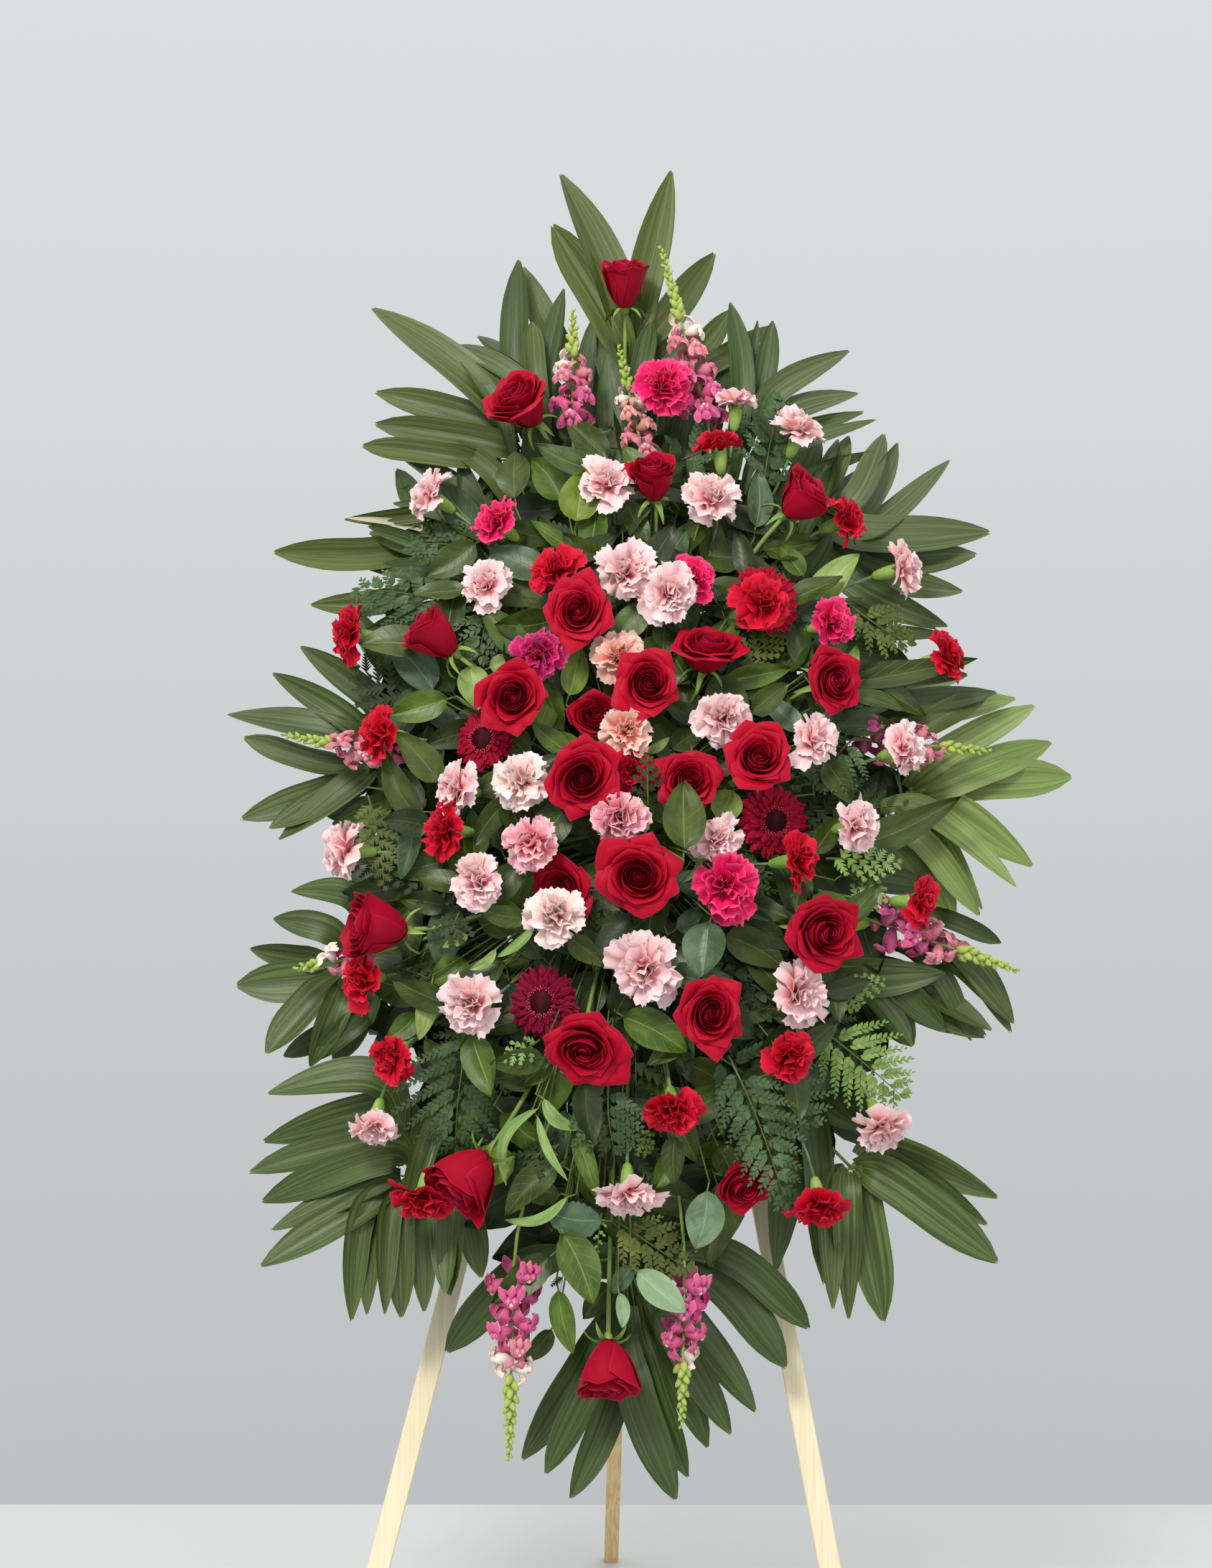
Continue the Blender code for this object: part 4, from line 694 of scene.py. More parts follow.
def sepals(growth, base, axes, size, droop, rng):
    """Narrow green sepals that curl back from the base of a bloom."""
    start = rng.uniform(*ANY_TURN)
    for i in range(5):
        out = spoke(start + math.tau * i / 5)
        bend = droop + rng.uniform(-0.3, 0.3)
        path = bezier(np.linspace(0, 1, 8), (
            out * 0.12 * size, out * 0.45 * size + UP * 0.10 * size,
            out * 0.70 * size + UP * (0.10 - 0.25 * bend) * size,
            out * (0.95 - 0.15 * bend) * size + UP * (0.25 - 0.75 * bend) * size))
        grid = blade(path, UP * 0.9 - out * 0.2, lambda r: size * 0.14 * (1.05 - r) ** 0.7, 7, 3,
                     lift=lambda r, t: size * 0.05 * np.abs(t))
        growth.sheet(base + grid @ axes, SEPAL_THICKNESS, 1, rng.random())


def rose(growth, base, facing, width, length, openness, rng, thickness):
    """A rose bloom with its hip and sepals, opening along facing from base."""
    axes = axes_for(facing, rng.uniform(*ANY_TURN))
    petals = [(0.03 + 0.17 * i / 6, i * GOLDEN_TURN) for i in range(6)]
    for whorl, count in ((0.28, 3), (0.38, 3), (0.51, 4), (0.67, 4), (0.84, 5), (1.0, 5)):
        start = rng.uniform(*ANY_TURN)
        petals += [(whorl - 0.07 * k / count, start + math.tau * k / count
                    + rng.uniform(-0.20, 0.20)) for k in range(count)]
    stretch = 1 + rng.uniform(0.02, 0.09) * np.array([1.0, -1.0, 0.0])
    for p, turn in petals:
        flare = openness + p ** 3 * rng.uniform(-0.12, 0.22)
        grid = rose_petal(p, flare, turn, width / 2, length, rng) * stretch
        growth.sheet(base + grid @ axes, thickness * (0.5 + 0.5 * p), 0, rng.random())
    heart = stations(base, facing, np.array([0.08, 0.28, 0.45, 0.60, 0.70]) * length)
    growth.rod(heart, np.array([0.20, 0.40, 0.34, 0.22, 0.02]) * width / 2, sides=10, slot=0,
               chance=0.3)
    growth.rod(stations(base, facing, [-0.006, -0.001, 0.003, 0.006, 0.010]),
               [0.0028, 0.0050, 0.0066, 0.0072, 0.0050], sides=10)
    sepals(growth, base + facing * 0.004, axes, 0.036, 0.8 + 0.3 * openness, rng)


def carnation_petal(width, out, lean, reach, spread, crumple, shape, rng):
    """One crumpled, toothed petal of a carnation, which leans out and reaches so far."""
    tilt, rise = math.sin(lean), math.cos(lean)
    path = bezier(np.linspace(0.10, 1, 8), (
        out * 0.002, UP * 0.12 * width + out * 0.004,
        UP * 0.24 * width + out * reach * (0.08 + 0.42 * tilt),
        out * reach * tilt + UP * (0.16 * width + 0.80 * reach * rise)))
    swing = rng.uniform(-1, 1) * (0.55 + 0.8 * rise ** 2)
    normal = (UP * tilt - out * rise) * math.cos(swing) + np.cross(UP, out) * math.sin(swing)
    folds, phase = rng.uniform(1.0, 2.3), rng.uniform(*ANY_TURN)
    curl, cup = rng.uniform(-0.12, 0.05) * width, rng.uniform(-0.07, 0.07) * width
    depth = crumple * width * rng.uniform(0.6, 1.3)
    notch = rng.uniform(-0.028, 0.028, shape[1])
    notch[::2] += 0.018
    notch[1::2] -= 0.018
    half = width * spread * rng.uniform(0.8, 1.15)
    return blade(
        path, normal, lambda r: half * (0.08 + 0.92 * r ** 1.25), *shape,
        top=lambda t: 0.97 - 0.15 * np.abs(t) ** 2.4 + notch,
        lift=lambda r, t: (depth * np.sin(math.pi * folds * t + phase) * r ** 1.6
                           + 0.35 * depth * np.sin(8.0 * t + 2 * phase) * r ** 3
                           + cup * t * t * r + curl * r ** 4))


def calyx(growth, mouth, facing, axes):
    """The green barrel that a carnation's petals come out of, with its five points."""
    growth.rod(stations(mouth, facing, [-0.029, -0.026, -0.018, -0.009, -0.002, 0.003]),
               [0.0030, 0.0056, 0.0076, 0.0088, 0.0092, 0.0096], sides=9, slot=2, chance=0.4)
    for i in range(5):
        out = spoke(math.tau * i / 5)
        path = np.linspace(out * 0.0092, out * 0.0112 + UP * 0.007, 5)
        grid = blade(path, out, lambda r: 0.0044 * (1.02 - r), 4, 3)
        growth.sheet(mouth + facing * 0.001 + grid @ axes, SEPAL_THICKNESS, 2, 0.4)


def carnation(growth, mouth, facing, width, petals, rng):
    """A ruffled carnation on its calyx, whose mouth is where the petals come out."""
    axes = axes_for(facing, rng.uniform(*ANY_TURN))
    lump, lump_turn = rng.uniform(0.03, 0.13), rng.uniform(*ANY_TURN)
    for share, leans, reaches, spread, crumple, shape in CARNATION_RINGS:
        count = max(3, round(share * petals))
        start = rng.uniform(*ANY_TURN)
        for i in range(count):
            lean = math.radians(rng.uniform(*leans))
            turn = start + math.tau * i / count + rng.uniform(-0.30, 0.30)
            reach = width / 2 * rng.uniform(*reaches) * (1 + lump * math.cos(2 * turn + lump_turn))
            if rng.random() < 0.08:
                reach *= 1.18
            grid = carnation_petal(width, spoke(turn), lean, reach, spread, crumple, shape, rng)
            growth.sheet(mouth + grid @ axes, CARNATION_THICKNESS, 0, rng.random())
    calyx(growth, mouth, facing, axes)


def jointed_stem(growth, route, radius):
    """A stem with a slight swelling at each of its joints."""
    away = np.concatenate([[0], np.cumsum(np.linalg.norm(np.diff(route, axis=0), axis=1))])
    radii = radius * (1 + 0.35 * np.exp(-((away % 0.06 - 0.03) / 0.006) ** 2))
    growth.rod(route, radii, sides=6, chance=0.4)


def gerbera_petal(out, radius, length, share, height, rise, wide, rng):
    """One strap petal of a gerbera, with two creases and a notched tip."""
    far = radius * share * rng.uniform(0.90, 1.03)
    tilt = rise + rng.uniform(-0.07, 0.07)
    path = bezier(np.linspace(0, 1, 8), (
        out * 0.004 + UP * 0.35 * length, out * 0.30 * far + UP * (height + 0.02) * length,
        out * 0.65 * far + UP * (height * length + tilt * far * 0.8),
        out * far + UP * (height * length + tilt * far * rng.uniform(0.5, 1.1))))
    half = radius * wide * rng.uniform(0.9, 1.1)
    tip = rng.uniform(-0.03, 0.02)
    lean = rng.uniform(-0.35, 0.35)
    return blade(
        path, UP + lean * np.cross(UP, out),
        lambda r: half * (0.40 + 0.60 * ease(r, 0.05, 0.65)) * (1 - 0.5 * ease(r, 0.84, 1.0)), 7, 5,
        top=lambda t: 0.985 - 0.10 * np.abs(t) ** 2.5 + 0.012 * np.cos(math.tau * t) + tip,
        lift=lambda r, t: half * (0.16 * np.cos(math.tau * t) * (0.3 + r) - 0.34 * t * t))


def gerbera_eye(growth, base, facing, axes, length, rng):
    """The dark domed eye of a gerbera, set with small florets that are paler at its edge."""
    growth.rod(stations(base, facing, np.array([0.40, 0.70, 0.84, 0.93, 0.99]) * length),
               [0.008, 0.016, 0.0155, 0.011, 0.002], sides=16, slot=2)
    for i in range(EYE_FLORETS):
        share = math.sqrt((i + 0.5) / EYE_FLORETS)
        out = spoke(i * GOLDEN_TURN)
        root = out * share * 0.0175 + UP * length * (0.97 - 0.16 * share ** 2)
        lean = unit(UP + out * 0.9 * share)
        tall = 0.0014 + 0.0022 * share ** 3
        path = root + np.array([0.0, 0.6, 1.0])[:, None] * lean * tall
        growth.rod(base + path @ axes, [0.0005, 0.0007, 0.0004], sides=4,
                   slot=3 if share > 0.78 else 2, chance=rng.random())


def gerbera(growth, base, facing, width, rng):
    """A gerbera: rings of strap petals round its eye, on a small green cup."""
    axes = axes_for(facing, rng.uniform(*ANY_TURN))
    for count, *ring in GERBERA_RINGS:
        for i in range(count):
            out = spoke(math.tau * (i + 0.5 * (count % 4 > 2)) / count + rng.uniform(-0.09, 0.09))
            grid = gerbera_petal(out, width / 2, GERBERA_LENGTH, *ring, rng)
            growth.sheet(base + grid @ axes, GERBERA_THICKNESS, 0, rng.random())
    gerbera_eye(growth, base, facing, axes, GERBERA_LENGTH, rng)
    growth.rod(stations(base, facing, [-0.002, 0.002, 0.006, 0.010]), [0.003, 0.008, 0.013, 0.015],
               sides=14)


def floret(growth, root, out, ahead, size, slot, rng):
    """A two-lipped snapdragon floret."""
    z = unit(out + rng.uniform(0.15, 0.50) * ahead)
    y = unit(ahead - z * np.dot(ahead, z))
    axes = np.array([np.cross(y, z), y, z])
    along = np.array([0.0, 0.14, 0.36, 0.58, 0.74, 0.84])[:, None]
    tube = root + size * (along * z - 0.10 * np.sin(math.pi * along) * y)
    growth.rod(tube, np.array([0.10, 0.20, 0.27, 0.32, 0.29, 0.12]) * size, sides=8, slot=slot,
               chance=rng.random())
    for side in (-0.13, 0.13):
        puff = np.array([[side * 0.8, -0.10, 0.62], [side, -0.11, 0.78], [side, -0.13, 0.92],
                         [side * 0.9, -0.16, 1.00]])
        growth.rod(root + size * puff @ axes, np.array([0.12, 0.18, 0.15, 0.05]) * size, sides=6,
                   slot=slot, chance=rng.random())
    growth.rod(root + size * np.array([[0, 0.0, 0.80], [0, 0.02, 0.93], [0, 0.02, 0.98]]) @ axes,
               np.array([0.08, 0.09, 0.03]) * size, sides=6, slot=2)
    for side, rise, wide in ((-0.19, 1, 0.27), (0.19, 1, 0.27), (-0.24, -1, 0.21),
                             (0.0, -1, 0.23), (0.24, -1, 0.21)):
        long = rng.uniform(0.85, 1.15)
        if rise > 0:
            knots = ([side * 0.4, 0.14, 0.55], [side * 0.9, 0.42, 0.95],
                     [side * 1.3, 0.46 + 0.16 * long, 0.78], [side * 1.9, 0.44 + 0.32 * long, 0.42])
        else:
            knots = ([side * 0.5, -0.14, 0.66], [side * 0.8, -0.28, 1.06],
                     [side * 1.3, -0.46 - 0.08 * long, 1.04], [side * 1.9, -0.52 - 0.16 * long, 0.70])
        waves = rng.uniform(*ANY_TURN)
        grid = blade(bezier(np.linspace(0, 1, 7), knots), np.array([0.0, 0.6 * rise, 0.8]),
                     lambda r: wide * (0.45 + 0.65 * np.sin(np.minimum(r * 1.3, 1.5))), 5, 7,
                     top=lambda t: 1.0 - 0.26 * np.abs(t) ** 2.2,
                     lift=lambda r, t: 0.09 * np.sin(4 * t + waves) * r * r - 0.16 * t * t)
        growth.sheet(root + size * grid @ axes, FLORET_THICKNESS, slot, rng.random())


def bud(growth, root, out, ahead, size, rng):
    """A closed green bud."""
    lean = unit(out + (1.0 + 0.6 * rng.random()) * ahead)
    growth.rod(stations(root, lean, np.array([0.0, 0.18, 0.45, 0.75, 0.95, 1.0]) * size),
               np.array([0.10, 0.24, 0.30, 0.24, 0.12, 0.03]) * size, slot=0, chance=rng.random())


def lanceolate(width, blunt):
    """Half the width of a palm leaflet along its length, which tapers from blunt to its tip."""
    def half(r):
        tip = 1 - np.clip((r - blunt) / (1.004 - blunt), 0.0, 1.0) ** 2.4
        return width / 2 * (0.46 + 0.54 * ease(r, 0.0, 0.42)) * np.maximum(tip ** 0.85, 0.015)
    return half


def palm_leaflet(growth, hub, row, w, rng, pleat, shape=(18, 9)):
    """A long pleated leaflet that springs from the frond's hub and shows past the flowers."""
    base, tip, width = np.array(row[:2]), np.array(row[2:4]), row[4]
    ahead = unit(tip - base)
    start = hub + 0.40 * (base - hub)
    back = np.linalg.norm(base - start)
    away = np.linalg.norm(tip - base)
    s = np.linspace(0, 1, 20)
    flat = bezier(s, (start, base - ahead * 0.30 * back, base + ahead * 0.25 * away, tip))
    rise = rng.uniform(-0.006, 0.030)
    droop = rng.uniform(-0.020, 0.030)
    path = np.column_stack([flat, w + rise * np.sin(math.pi * s) + droop * s ** 3])
    side = np.array([-ahead[1], ahead[0], 0.0])
    roll = rng.uniform(-0.4, 0.4) + rng.uniform(-0.4, 0.4) * s
    facing = UP * np.cos(roll)[:, None] + side * np.sin(roll)[:, None]
    vee = rng.uniform(0.15, 0.50)
    half = lanceolate(width * 1.20, rng.uniform(0.54, 0.76))
    ragged = rng.uniform(0.0, 0.012, shape[1])
    grid = blade(path, facing, half, *shape, top=lambda t: 1.0 - ragged,
                 lift=lambda r, t: half(r) * (vee * np.abs(t) + 0.05 * np.sin(7 * r + roll[0] * 9) * t)
                 + pleat * np.cos(4 * math.pi * t) * (1 - r ** 4))
    growth.sheet(grid, LEAF_THICKNESS, 0, rng.random())
    return np.append(start, w)


def fern(growth, start, bend, tip, spread, rng, pairs=11, lobes=7, plump=0.13, split=False):
    """A feathery frond: side leaflets in pairs along its rib, each cut into small oval lobes."""
    path = arch(np.linspace(0, 1, 24), *(np.asarray(p, float) for p in (start, bend, tip)))
    tangent = unit(np.gradient(path, axis=0))
    front = unit(UP + rng.uniform(-0.35, 0.35, 3))
    growth.rod(path[::2], np.linspace(0.0016, 0.0004, 12), sides=5)
    r = np.linspace(0, 1, 3 * lobes + 2)
    teeth = np.array([0.14, 0.92, 1.0] * (lobes + 1))[:len(r)]
    teeth[-1] = 0.1
    for k in range(pairs * 2):
        at = 0.12 + 0.88 * (k // 2 + 0.5 * (k % 2)) / pairs
        if at > 0.985:
            continue
        hand = 1 if k % 2 else -1
        root = point_at(path, at * 23)
        ahead = unit(point_at(tangent, at * 23))
        side = unit(np.cross(front, ahead)) * hand
        long = spread * min(1.0, 1.35 * (1 - at) ** 0.8 + 0.06) * (0.7 + 0.3 * min(1, at * 4))
        long *= rng.uniform(0.88, 1.08)
        lean = unit(side + (0.45 + 0.5 * at) * ahead)
        lift = np.cross(ahead, side) * hand
        mid = root + lean * long * 0.5 + lift * long * rng.uniform(-0.02, 0.06)
        end = root + lean * long + ahead * long * 0.12 + lift * long * rng.uniform(-0.20, 0.10)
        run = arch(r, root, mid, end)
        if split:
            growth.rod(run[::4], 0.0004, sides=4)
            fern_lobes(growth, run, lean, lift, rng)
            continue
        half = spread * plump * teeth * (1.05 - r) ** 0.55 * min(1.0, 0.35 + long / spread)
        swing = lean * (0.75 * half * (teeth > 0.5))[:, None]
        reach = np.cross(lift, unit(end - root)) * half[:, None]
        grid = np.stack([run - reach + swing, run, run + reach + swing], axis=1)
        grid[:, [0, 2]] += lift * rng.uniform(0.0, 0.05) * long
        growth.sheet(grid[:, ::hand], FERN_THICKNESS, 0, rng.random())


def fern_lobes(growth, run, lean, lift, rng):
    """Small oval leaflets in pairs along one side branch of a frond, with one at its tip."""
    along = run[-1] - run[0]
    count = max(2, int(np.linalg.norm(along) / 0.0080))
    turned = np.cross(lift, unit(along))
    lift = unit(lift)
    for j in range(2 * count + 1):
        at = min(1.0, 0.10 + 0.90 * (j // 2 + 0.5 * (j % 2)) / count)
        side = 0.0 if j == 2 * count else 1.0 if j % 2 else -1.0
        ahead = unit(side * turned * rng.uniform(0.8, 1.1) + 1.1 * lean
                     + lift * rng.uniform(-0.25, 0.25))
        far = 0.0128 * (1.0 - 0.62 * at ** 2) * rng.uniform(0.85, 1.1)
        path = point_at(run, at * (len(run) - 1)) + np.linspace(0, 1, 5)[:, None] * ahead * far
        wide = far * rng.uniform(0.24, 0.30)
        grid = blade(path, lift, lambda r: wide * (0.25 + 0.85 * np.sin(math.pi * (0.08 + 0.84 * r)))
                     * (1.02 - 0.75 * r ** 3), 5, 3, lift=lambda r, t: 0.10 * wide * np.abs(t))
        growth.sheet(grid, LOBE_THICKNESS, 0, rng.random())


def leaf(growth, root, ahead, facing, long, wide, rng, chance, grid,
         swell=0.72, bend=0.15, fold=0.12, sway=0.08, teeth=0.0):
    """A broad pointed leaf with a folded midrib and gently waved edges, on a short stalk."""
    ahead = unit(ahead)
    facing = unit(facing - ahead * np.dot(facing, ahead))
    s = np.linspace(0, 1, 12)
    bow = rng.uniform(0.3, 1.4) * bend
    path = root + s[:, None] * ahead * long - (bow * long * s ** 2)[:, None] * facing
    waves, ripple = rng.uniform(*ANY_TURN), rng.uniform(0.01, 0.06)
    sideways = np.cross(ahead, facing) * rng.uniform(-sway, sway) * long
    path = path + np.sin(math.pi * s)[:, None] * sideways
    notches = 1 + teeth * (np.arange(grid[0]) % 2 - 0.5)[:, None]
    sheet = blade(
        path, facing,
        lambda r: wide / 2 * notches * np.sin(math.pi * np.clip(r, 0, 1) ** swell) ** 0.75 + 0.0004,
        *grid, lift=lambda r, t: wide * (fold * np.abs(t) + ripple * t * t * np.sin(9 * r + waves)))
    growth.sheet(sheet, LEAF_THICKNESS, 0, chance)
    stalk = np.array([root - ahead * 0.014 - facing * 0.003, root, path[4], path[8]])
    growth.rod(stalk - facing * 0.0012, [0.0013, 0.0011, 0.0008, 0.0004], sides=4)


def twig(growth, root, ahead, radius=0.0011):
    """The thin stem that carries a leaf or frond out of the foam."""
    u, v = HOLDER[0] + 0.12 * (root[0] - HOLDER[0]), HOLDER[1] + 0.26 * (root[1] - HOLDER[1])
    start, end = np.array([u, v, STEM_START_W]), root - unit(ahead) * 0.012
    middle = start + (end - start) * [0.5, 0.5, 0.72]
    growth.rod(bezier(np.linspace(0, 1, 7), (start, middle, middle, end)), radius, sides=4)


class Wire:
    """A shader socket that takes part in Python arithmetic."""

    def __init__(self, finish, socket):
        self.finish = finish
        self.socket = socket

    def maths(self, operation, *values):
        """One step of arithmetic on constants and sockets."""
        return self.finish.node("ShaderNodeMath", {"operation": operation},
                                dict(enumerate(values)))

    def __add__(self, other):
        return self.maths("ADD", self, other)

    def __sub__(self, other):
        return self.maths("SUBTRACT", self, other)

    def __rsub__(self, other):
        return self.maths("SUBTRACT", other, self)

    def __mul__(self, other):
        return self.maths("MULTIPLY", self, other)

    def __abs__(self):
        return self.maths("ABSOLUTE", self)

    __radd__ = __add__
    __rmul__ = __mul__

    def sine(self):
        return self.maths("SINE", self)

    def cosine(self):
        return self.maths("COSINE", self)

    def step(self, low, high):
        """A smooth step from 0 at low to 1 at high."""
        return self.finish.node("ShaderNodeMapRange", {"interpolation_type": "SMOOTHSTEP"},
                                {"Value": self, "From Min": low, "From Max": high})


class Finish:
    """A material, or the backdrop: its shader's constants and the nodes that vary over it."""

    def __init__(self, name, constants, home="materials", shader="Principled BSDF"):
        self.material = getattr(bpy.data, home).new(name)
        self.material.use_nodes = True
        self.tree = self.material.node_tree
        self.shader = self.tree.nodes[shader]
        for socket, value in constants.items():
            self.shader.inputs[socket].default_value = value

    def node(self, kind, settings=None, inputs=None, output=0):
        """One output of a new node; inputs are constants or other sockets."""
        node = self.tree.nodes.new(kind)
        for name, value in (settings or {}).items():
            setattr(node, name, value)
        for key, value in (inputs or {}).items():
            if isinstance(value, Wire):
                self.tree.links.new(value.socket, node.inputs[key])
            else:
                node.inputs[key].default_value = value
        return Wire(self, node.outputs[output])

    def mix(self, share, low, high):
        """A colour between two colours."""
        low, high = (c if isinstance(c, Wire) else (*c, 1.0) for c in (low, high))
        return self.node("ShaderNodeMix", {"data_type": "RGBA"}, {0: share, 6: low, 7: high},
                         output=2)

    def vector(self, x, y, z):
        """A vector from its three parts."""
        return self.node("ShaderNodeCombineXYZ", None, {0: x, 1: y, 2: z})

    def split(self, vector):
        """The three parts of a vector."""
        first = self.node("ShaderNodeSeparateXYZ", None, {0: vector})
        return [Wire(self, part) for part in first.socket.node.outputs]

    def noise(self, vector, scale, detail=2.0, roughness=0.5):
        """Noise between 0 and 1 that a vector leads through."""
        return self.node("ShaderNodeTexNoise", None, {
            "Vector": vector, "Scale": scale, "Detail": detail, "Roughness": roughness})

    def grain(self, scale, detail=2.0, roughness=0.5):
        """Noise that fills the object's own space."""
        return self.noise(self.coordinates("Object"), scale, detail, roughness)

    def coordinates(self, kind):
        """Object or Generated coordinates."""
        return self.node("ShaderNodeTexCoord", output=kind)

    def place(self):
        """Across the petal or leaf, along it, and its own number."""
        return self.split(self.node("ShaderNodeAttribute", {"attribute_name": PLACE},
                                    output="Vector"))

    def reverse(self):
        """0 on the face of a sheet and 1 on its back."""
        return self.node("ShaderNodeAttribute", {"attribute_name": REVERSE}, output="Fac")

    def feed(self, socket, wire):
        """Leads a varying value into the shader."""
        self.tree.links.new(wire.socket, self.shader.inputs[socket])

    def done(self, colour, roughness, height=None, strength=0.0, distance=0.0):
        """Feeds what varies into the shader, and hands over the material."""
        self.feed("Base Color", colour)
        self.feed("Roughness", roughness)
        if height is not None:
            self.feed("Normal", self.node("ShaderNodeBump", None, {
                "Strength": strength, "Distance": distance, "Height": height}, output="Normal"))
        return self.material


def screen(red, green, blue):
    """A colour in eight-bit screen values as the linear values that shaders use."""
    return tuple((c / 255 / 12.92) if c <= 10 else ((c / 255 + 0.055) / 1.055) ** 2.4
                 for c in (red, green, blue))


def tinted(colour, by):
    """A colour made lighter or darker."""
    return tuple(min(1.0, c * by) for c in colour)


def towards(colour, other, share):
    """A colour moved towards another."""
    return tuple(a + (b - a) * share for a, b in zip(colour, other))


def petal_finish(name, body, heart, rim, streaks=0.25, velvet=0.30, glow=0.0, rim_share=0.6,
                 heart_end=0.55, shade=0.20, rim_wide=0.12, outside=None):
    """A petal: coloured from its heart at the base out to its body, veined along its length, with its own
    tone and a rim. The roses' lighter heart and rim are painted light, and the carnations' deeper hearts
    are partly painted shade.
    """
    f = Finish(name, {
        "Roughness": 0.55, "Sheen Weight": velvet, "Sheen Roughness": 0.35,
        "Sheen Tint": (*towards(body, (1, 0.5, 0.55), 0.15), 1.0), "Subsurface Weight": glow,
        "Subsurface Radius": (0.004, 0.0015, 0.001), "Subsurface Scale": 0.5,
        "Specular IOR Level": 0.11})
    across, along, own = f.place()
    veins = f.noise(f.vector(across * 9, along * 1.1, own * 40), 1.6, 3.0, 0.6)
    mottle = f.noise(f.vector(across * 2, along * 2, own * 17), 1.3)
    # The heart colour at the petal's base: painted light in the roses, partly painted shade in the
    # carnations
    colour = f.mix(along.step(0.05, heart_end), heart, body)
    if outside:
        colour = f.mix(f.reverse(), outside, colour)
    colour = f.mix(veins.step(0.50, 0.72) * streaks, colour, towards(body, rim, 0.7))
    colour = f.mix((1 - veins).step(0.55, 0.78) * streaks, colour, towards(body, heart, 0.7))
    dusk = towards(tinted(body, 0.80), heart, 0.40)
    colour = f.mix(mottle.step(0.35, 0.70) * shade, colour, dusk)
    # The rim colour along the edges and the tip; in the roses it is painted highlight on the lips
    edge = abs(across).step(1 - 1.6 * rim_wide, 1.0)
    top = along.step(1 - rim_wide, 1.0)
    colour = f.mix((1 - (1 - edge) * (1 - top)) * rim_share, colour, rim)
    return f.done(f.mix(own * shade, colour, dusk), 0.43 + veins * 0.24,
                  veins + mottle * 0.4, 0.30, 0.0010)


def stem_finish(name, colour, bloom):
    """A green stem, paler where its bloom of wax lies."""
    f = Finish(name, {"Roughness": 0.45, "Specular IOR Level": 0.3})
    across, along, own = f.place()
    fibres = f.noise(f.vector(across * 5, along * 3, own * 30), 2.0, 3.0)
    wax = f.grain(38.0, 3.0)
    base = f.mix(wax.step(0.38, 0.66) * 0.7, colour, bloom)
    base = f.mix(fibres.step(0.5, 0.8) * 0.35, base, tinted(colour, 0.6))
    return f.done(base, 0.45 + wax * 0.25, fibres, 0.3, 0.0006)


def leaf_finish(name, colour, pale, vein):
    """A broad glossy leaf with a pale midrib and side veins that run towards the tip."""
    f = Finish(name, {"Roughness": 0.40, "Specular IOR Level": 0.28, "Coat Weight": 0.06,
                      "Coat Roughness": 0.3})
    across, along, own = f.place()
    patch = f.noise(f.vector(across * 1.2, along * 2.2, own * 23), 1.4, 3.0)
    net = f.noise(f.vector(across * 7, along * 12, own * 23), 2.2, 3.0, 0.6)
    side = 1 - abs(((along * 7.0 - abs(across) * 1.6) * math.pi).sine())
    side_vein = side.step(0.80, 0.98) * (1 - along.step(0.9, 1.0))
    midrib = 1 - abs(across).step(0.015, 0.07)
    base = f.mix(patch.step(0.34, 0.68), colour, pale)
    base = f.mix(own * 0.45, base, tinted(colour, 0.55))
    base = f.mix(net.step(0.45, 0.75) * 0.22, base, tinted(colour, 0.7))
    base = f.mix(side_vein * 0.32 * 0.55, base, vein)
    base = f.mix(midrib * 0.32 * 1.4, base, vein)
    base = f.mix(f.reverse() * 0.45, base, towards(pale, (0.30, 0.36, 0.22), 0.4))
    return f.done(base, 0.40 + net * 0.20 - 0.12,
                  net * 0.25 - side_vein * 0.5 - midrib * 0.8, 0.5, 0.0009)


def palm_finish(name, colour, pale, dry):
    """A pleated palm leaflet: long fine veins, greyish patches and a dry tip."""
    f = Finish(name, {"Roughness": 0.36, "Specular IOR Level": 0.42})
    across, along, own = f.place()
    lines = f.noise(f.vector(across * 22, along * 0.7, own * 31), 1.5, 3.0, 0.7)
    patch = f.noise(f.vector(across * 5, along * 1.0, own * 19), 1.2)
    base = f.mix(lines.step(0.34, 0.66), tinted(colour, 0.70), colour)
    base = f.mix(patch.step(0.40, 0.66) * 0.65, base, pale)
    base = f.mix(own * 0.45, base, tinted(colour, 0.60))
    ribs = (across * 4 * math.pi).cosine()
    base = f.mix(ribs.step(0.90, 1.0) * 0.30, base, pale)
    worn = (along + patch * 0.10 + own * 0.02).step(1.04, 1.10)
    base = f.mix(worn * 0.8, base, dry)
    return f.done(base, 0.22 + lines * 0.18 + patch * 0.14 + worn * 0.2, lines, 0.45, 0.0008)


def fern_finish(name, colour, pale):
    """A dark leathery fern frond, glossy above its sunken veins."""
    f = Finish(name, {"Roughness": 0.50, "Specular IOR Level": 0.22})
    across, _, own = f.place()
    grain = f.grain(210.0, 3.0, 0.6)
    patch = f.grain(26.0)
    base = f.mix(patch.step(0.35, 0.70), colour, pale)
    base = f.mix(own * 0.5, base, tinted(colour, 0.55))
    base = f.mix(grain.step(0.4, 0.7) * 0.3, base, tinted(colour, 0.6))
    base = f.mix((1 - abs(across).step(0.02, 0.22)) * 0.30, base, pale)
    return f.done(base, 0.42 + grain * 0.25, grain, 0.5, 0.0008)


